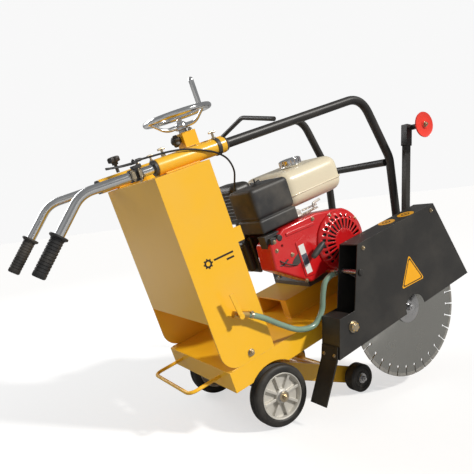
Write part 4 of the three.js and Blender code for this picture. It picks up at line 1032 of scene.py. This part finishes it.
sweep(bm, smooth_path([(306, -178, 262), (302, -196, 240), (320, -204, 222), (352, -206, 232)]), 3, 12)
sweep(bm, smooth_path([(318, -176, 258), (322, -208, 236), (350, -212, 214), (384, -207, 200)]), 2.4, 12)
piece("switch_box", bm, moulded, "chassis", bevel=2.0)
bm = bmesh.new()
soft_box(bm, (296, -44, 196), (330, 98, 312), 14, 0.03)
soft_box(bm, (326, -50, 186), (338, 104, 320), 5, 0.0)
for row in range(5):
    sweep(bm, [(295.6, -30 + 26 * row, 214), (295.6, -30 + 26 * row, 296)], 4, 12)
piece("rocker_cover", bm, black, "chassis", angle=50)
bolts("switch_bolts", "chassis", [(322, -204, 306), (320, -204, 276), (348, -190, 260)], RIGHT, 9)
bolts("shroud_bolts", "chassis", [(x, face_y, z) for x, z in ((374, 240), (500, 322), (398, 134))], RIGHT, 9)
bolts("crankcase_foot_bolts", "chassis", [(x, y, bed_top + 16.3) for x in (482, 698) for y in (-88, 88)],
      UP, 13)
bm = bmesh.new()
turn_piece(bm, [(0, 0), (0, 9), (5, 10), (16, 10), (18, 7), (18, 0)], (676, -108.3, 112), RIGHT, 24)
turn_piece(bm, [(0, 0), (0, 9), (16, 9), (20, 6), (20, 0)], (506, -108.3, 104), RIGHT, 6)
piece("oil_plugs", bm, moulded, "chassis", bevel=0.5)

# ---- Belt drive ----------------------------------------------------------------------------------
# V-belts from the engine down through the deck to the blade shaft, under a sheet steel cover.
dress(black, "belt_cover")
dress(cast, "bearing_housing_right", "bearing_housing_left")
dress(grip_rubber, "drive_belts")
dress(steel, "blade_shaft")
cover_high = span("belt_cover")[1]
bolts("belt_cover_bolts", "chassis", [(520, cover_high.y, 30), (760, cover_high.y, 30),
                                      (600, cover_high.y, 262)],
      LEFT_SIDE, 10)
for hand in ("right", "left"):
    housing = middle(f"bearing_housing_{hand}")
    bm = bmesh.new()
    low, high = span(f"bearing_housing_{hand}")
    for x in (low.x + 9, high.x - 9):
        hex_bolt(bm, (x, housing.y, -22.5), DOWN, 15)
    piece(f"bearing_bolts_{hand}", bm, zinc, "chassis", bevel=0.4)

# ---- Blade ---------------------------------------------------------------------------------------
# A ground steel core with keyhole slots, brazed diamond segments slightly wider than the core,
# held between two flanges by a left-hand nut.
blade_core = finish("blade_core", (0.40, 0.40, 0.38), 0.24, 1.0, grain=(900.0, 0.0002), patches=(20.0, 0.1),
                    dust=0.05,
                    dust_colour=(0.4, 0.36, 0.3))
blade_shader = blade_core.node_tree.nodes["Principled BSDF"]
blade_shader.inputs["Anisotropic"].default_value = 0.85
ground_round = blade_core.node_tree.nodes.new("ShaderNodeTangent")
ground_round.direction_type = "RADIAL"
ground_round.axis = "Y"
blade_core.node_tree.links.new(ground_round.outputs["Tangent"], blade_shader.inputs["Tangent"])
segment_mix = finish("diamond_segment", (0.30, 0.29, 0.27), 0.62, 0.6, grain=(1500.0, 0.0012),
                     patches=(80.0, 0.3))
blade_low, blade_high = span("saw_blade")
blade_mid = middle("saw_blade")
SEGMENT_HALF = 2.5
R = (blade_high.x - blade_low.x) / 2
SEGMENTS = 32
pitch = 360 / SEGMENTS
slot_half = 0.42
core_outline = []
for index in range(SEGMENTS):
    start = index * pitch
    core_outline += ring_arc(blade_mid.x, blade_mid.z, R - 11, start + slot_half, start + pitch - slot_half,
                             6)
    end = start + pitch
    hole = math.radians(end)
    hx, hz = blade_mid.x + (R - 34) * math.cos(hole), blade_mid.z + (R - 34) * math.sin(hole)
    core_outline += ring_arc(hx, hz, 5, end - 18, end - 342, 10)
bm = bmesh.new()
inner = ring_arc(blade_mid.x, blade_mid.z, 13, 0, 360 - 360 / 48, 47)
for y, flip in ((blade_mid.y - 1.8, False), (blade_mid.y + 1.8, True)):
    outer_ring = [bm.verts.new((x, y, z)) for x, z in core_outline]
    inner_ring = [bm.verts.new((x, y, z)) for x, z in inner]
    edges = []
    for ring in (outer_ring, inner_ring):
        edges += [bm.edges.new((ring[i], ring[(i + 1) % len(ring)])) for i in range(len(ring))]
    bmesh.ops.triangle_fill(bm, edges=edges, use_beauty=True)
    if not flip:
        first_outer, first_inner = outer_ring, inner_ring
for one, two in ((first_outer, outer_ring), (first_inner, inner_ring)):
    for i in range(len(one)):
        nxt = (i + 1) % len(one)
        bm.faces.new((one[i], one[nxt], two[nxt], two[i]))
piece("saw_blade_core", bm, blade_core, "blade_spindle", angle=30, replaces=["saw_blade"])
bm = bmesh.new()
for index in range(SEGMENTS):
    start = index * pitch
    outline = ring_arc(blade_mid.x, blade_mid.z, R, start + slot_half + 0.15,
                       start + pitch - slot_half - 0.15, 6)
    outline += ring_arc(blade_mid.x, blade_mid.z, R - 11.5, start + pitch - slot_half - 0.15,
                        start + slot_half + 0.15, 6)
    plate(bm, outline, blade_mid.y - SEGMENT_HALF, blade_mid.y + SEGMENT_HALF)
piece("saw_blade_segments", bm, segment_mix, "blade_spindle", bevel=0.5, angle=30)

flange_high = span("outer_flange")[1]
bm = bmesh.new()
turn_piece(bm, [(0, 13), (0, 56), (1, 57), (4, 57), (6, 52), (7, 34), (9, 31), (9, 13)],
           (blade_mid.x, flange_high.y, blade_mid.z), RIGHT, 72)
hex_bolt(bm, (blade_mid.x, flange_high.y - 9, blade_mid.z), RIGHT, 19, washer=False)
piece("outer_flange_turned", bm, steel, "blade_spindle", bevel=0.5, replaces=["outer_flange"])

# ---- Blade guard ---------------------------------------------------------------------------------
# A folded sheet guard hinged on a pin at its rear corner, painted black, with a front bar to lift
# it by, a rubber flap behind, and a water pipe with two spray arms inside.
dress(black, "guard_shell")
guard_low, guard_high = span("guard_shell")
front_edge = Vector((1013 - 927, -98 - 216)).normalized()
front_out = Vector((-front_edge.y, front_edge.x))


def on_front(z, offset):
    along = (216 - z) / -front_edge.y
    return (927 + front_edge.x * along + front_out.x * offset, blade_mid.y, z + front_out.y * offset)


bm = bmesh.new()
sweep(bm, bent([on_front(132, 0.3), on_front(132, 32), on_front(32, 32), on_front(32, 0.3)], 16), 6.5, 24)
piece("guard_handle_bar", bm, black, "guard", replaces=["guard_handle"])
brass = finish("brass", (0.62, 0.42, 0.15), 0.3, 0.95, grain=(400.0, 0.0003), patches=(30.0, 0.2))
flap_rubber = finish("flap_rubber", (0.012, 0.010, 0.008), 0.6, grain=(300.0, 0.0006), patches=(10.0, 0.3),
                     dust=0.06)
dress(brass, "valve_body")
dress(steel, "water_pipe")
dress(flap_rubber, "mud_flap")
bolts("flap_bolts", "guard", [(322, y, -88) for y in (-338, -288)], (-0.92, 0, 0.39), 13)
bolts("guard_bolts", "guard", [(x, guard_low.y, z) for x, z in ((545, 196), (905, 196))], RIGHT, 9)
amber = finish("amber_sticker", (0.90, 0.42, 0.01), 0.35, grain=(80.0, 0.0001), patches=(12.0, 0.08))


def triangle(shrink, round_at=0.1):
    """The sign's outline with rounded corners, drawn in by a share towards its middle."""
    tips = [Vector(tip) for tip in ((736, 91), (661, -7), (780, -15))]
    heart = sum(tips, Vector((0, 0))) / 3
    tips = [tip.lerp(heart, shrink) for tip in tips]
    outline = []
    for i in range(3):
        before, corner, after = tips[i - 1], tips[i], tips[(i + 1) % 3]
        start, end = corner.lerp(before, round_at), corner.lerp(after, round_at)
        for step in range(6):
            t = step / 5
            point = start * (1 - t) ** 2 + corner * 2 * t * (1 - t) + end * t * t
            outline.append((point.x, point.y))
    return outline


sign_y = guard_low.y
bm = bmesh.new()
plate(bm, triangle(0), sign_y - 0.5, sign_y + 0.5)
piece("guard_sign_amber", bm, amber, "guard")
bm = bmesh.new()
outer_v = [bm.verts.new((x, sign_y - 0.8, z)) for x, z in triangle(0.1)]
inner_v = [bm.verts.new((x, sign_y - 0.8, z)) for x, z in triangle(0.2)]
for i in range(len(outer_v)):
    nxt = (i + 1) % len(outer_v)
    bm.faces.new((outer_v[i], outer_v[nxt], inner_v[nxt], inner_v[i]))
piece("guard_sign_border", bm, marking, "guard")
bm = bmesh.new()
guard_top = guard_high.z
for x, y in ((735, -300), (815, -321)):
    turn_piece(bm, [(-0.3, 0), (-0.3, 30), (0.4, 30), (0.4, 0)], (x, y, guard_top), UP, 48)
piece("guard_dots_amber", bm, amber, "guard")
bm = bmesh.new()
for x, y in ((735, -300), (815, -321)):
    turn_piece(bm, [(0.2, 11), (0.8, 11), (0.8, 15), (0.2, 15), (0.2, 11)], (x, y, guard_top), UP, 40)
    turn_piece(bm, [(0.2, 0), (0.8, 0), (0.8, 4), (0.2, 4)], (x, y, guard_top), UP, 24)
piece("guard_dots_marks", bm, marking, "guard")
hinge = Vector((409, deck_low.y, -24))
bm = bmesh.new()
turn_piece(bm, [(0.4, 0), (0.4, 19), (2.4, 19), (2.4, 15.7), (9, 15.7), (13, 12.5), (13, 8), (14.5, 7),
                (14.5, 0)],
           (hinge.x, guard_low.y, hinge.z), RIGHT, 40)
piece("hinge_bolt_head", bm, zinc, "chassis", bevel=0.3)
bm = bmesh.new()
turn_piece(bm, [(0.2, 0), (0.2, 10.5), (5.5, 10), (6, 8), (6, 0)], (504, guard_low.y, 127), RIGHT, 32)
piece("water_pipe_end_cap", bm, black, "guard", bevel=0.4)

# ---- Water valve ---------------------------------------------------------------------------------
# A brass ball valve screwed into the column, with a pressed lever, and clips on the hose ends.
dress(yellow, "valve_lever")
for label_name, index, body in (("rear", 2, "chassis"), ("front", len(hose_route) - 5, "guard")):
    bm = bmesh.new()
    point = hose_route[index]
    along = (hose_route[index + 1] - point).normalized()
    turn_piece(bm, [(0, HOSE_RADIUS + 0.1), (0, HOSE_RADIUS + 1.4), (9, HOSE_RADIUS + 1.4),
                    (9, HOSE_RADIUS + 0.1),
                    (0, HOSE_RADIUS + 0.1)], point, along, 40)
    screw_at = point + along * 4.5 + Vector((0, 0, HOSE_RADIUS + 1))
    turn_piece(bm, [(-8, 0), (-8, 4), (6, 4), (6, 5), (10, 5), (10, 0)], screw_at, RIGHT, 16)
    piece(f"hose_clip_{label_name}", bm, zinc, body, bevel=0.3)

# ---- Front pointer -------------------------------------------------------------------------------
# A square tube that folds down in front to run a red wheel along the marked line.
dress(black, "pointer_arm")
red_plastic = finish("disc_red", (0.86, 0.045, 0.025), 0.36, grain=(200.0, 0.0003), patches=(10.0, 0.06),
                     coat=0.2)
disc_mid = middle("pointer_disc")
disc_low, disc_high = span("pointer_disc")
disc_radius = (disc_high.x - disc_low.x) / 2
bm = bmesh.new()
turn_piece(bm, [(-5, 5.3), (-5, 14), (-2, 17), (-1.6, disc_radius - 3), (-2.6, disc_radius - 1),
                (0, disc_radius),
                (2.6, disc_radius - 1), (1.6, disc_radius - 3), (2, 17), (5, 14), (5, 5.3), (-5, 5.3)],
           disc_mid, RIGHT, 80)
piece("pointer_disc_moulding", bm, red_plastic, "pointer_disc", replaces=["pointer_disc"])
bm = bmesh.new()
hex_bolt(bm, (disc_mid.x, disc_mid.y - 5.5, disc_mid.z), RIGHT, 12)
piece("pointer_disc_nut", bm, zinc, "pointer_arm", bevel=0.3)
bolts("pointer_pivot_nut", "chassis", [(812, -262.2, -20)], RIGHT, 17)

# ---- Floor and light -----------------------------------------------------------------------------
FLOOR_HALF = 40
bm = bmesh.new()
bmesh.ops.create_grid(bm, x_segments=1, y_segments=1, size=FLOOR_HALF)
floor_mesh = bpy.data.meshes.new("floor")
bm.to_mesh(floor_mesh)
bm.free()
floor = bpy.data.objects.new("floor", floor_mesh)
bpy.context.scene.collection.objects.link(floor)
floor.location.z = -0.0005
floor_material = bpy.data.materials.new("floor_white")
floor_material.use_nodes = True
floor_shader = floor_material.node_tree.nodes["Principled BSDF"]
floor_shader.inputs["Base Color"].default_value = (0.42, 0.42, 0.42, 1)
eye_ray = floor_material.node_tree.nodes.new("ShaderNodeLightPath").outputs["Is Camera Ray"]
glow = mix_colour(floor_material.node_tree, eye_ray, (0.0, 0.0, 0.0), (1.0, 1.0, 1.0))
floor_material.node_tree.links.new(glow, floor_shader.inputs["Emission Color"])
floor_shader.inputs["Emission Strength"].default_value = 0.62
floor_shader.inputs["Roughness"].default_value = 0.8
floor_mesh.materials.append(floor_material)


def area_light(name, where, aim, size, power, colour=(1, 1, 1)):
    """A square soft light pointed at a spot."""
    data = bpy.data.lights.new(name, "AREA")
    data.size = size
    data.energy = power
    data.color = colour
    lamp = bpy.data.objects.new(name, data)
    bpy.context.scene.collection.objects.link(lamp)
    lamp.location = where
    lamp.rotation_euler = (Vector(where) - Vector(aim)).to_track_quat("Z", "Y").to_euler()


area_light("fill", (-3.0, -2.4, 1.8), (0, 0, 0.5), 3.0, 3)
area_light("rim", (-1.5, 3.0, 2.6), (0, 0, 0.6), 2.0, 60)
sun_data = bpy.data.lights.new("key", "SUN")
sun_data.energy = 3.3
sun_data.angle = math.radians(5)
sun_data.color = (1.0, 0.97, 0.92)
sun = bpy.data.objects.new("key", sun_data)
bpy.context.scene.collection.objects.link(sun)
sun.rotation_euler = Vector((0.42, -0.74, 0.62)).to_track_quat("Z", "Y").to_euler()
world = bpy.data.worlds.new("studio")
bpy.context.scene.world = world
world.use_nodes = True
sky = world.node_tree
seen_through = sky.nodes.new("ShaderNodeLightPath")
level_of = math_node(sky, "MULTIPLY_ADD", seen_through.outputs["Is Camera Ray"], 0.70)
level_of.node.inputs[2].default_value = 0.24
sky.nodes["Background"].inputs["Color"].default_value = (1, 1, 1, 1)
sky.links.new(level_of, sky.nodes["Background"].inputs["Strength"])
bpy.context.scene.view_settings.view_transform = "Standard"
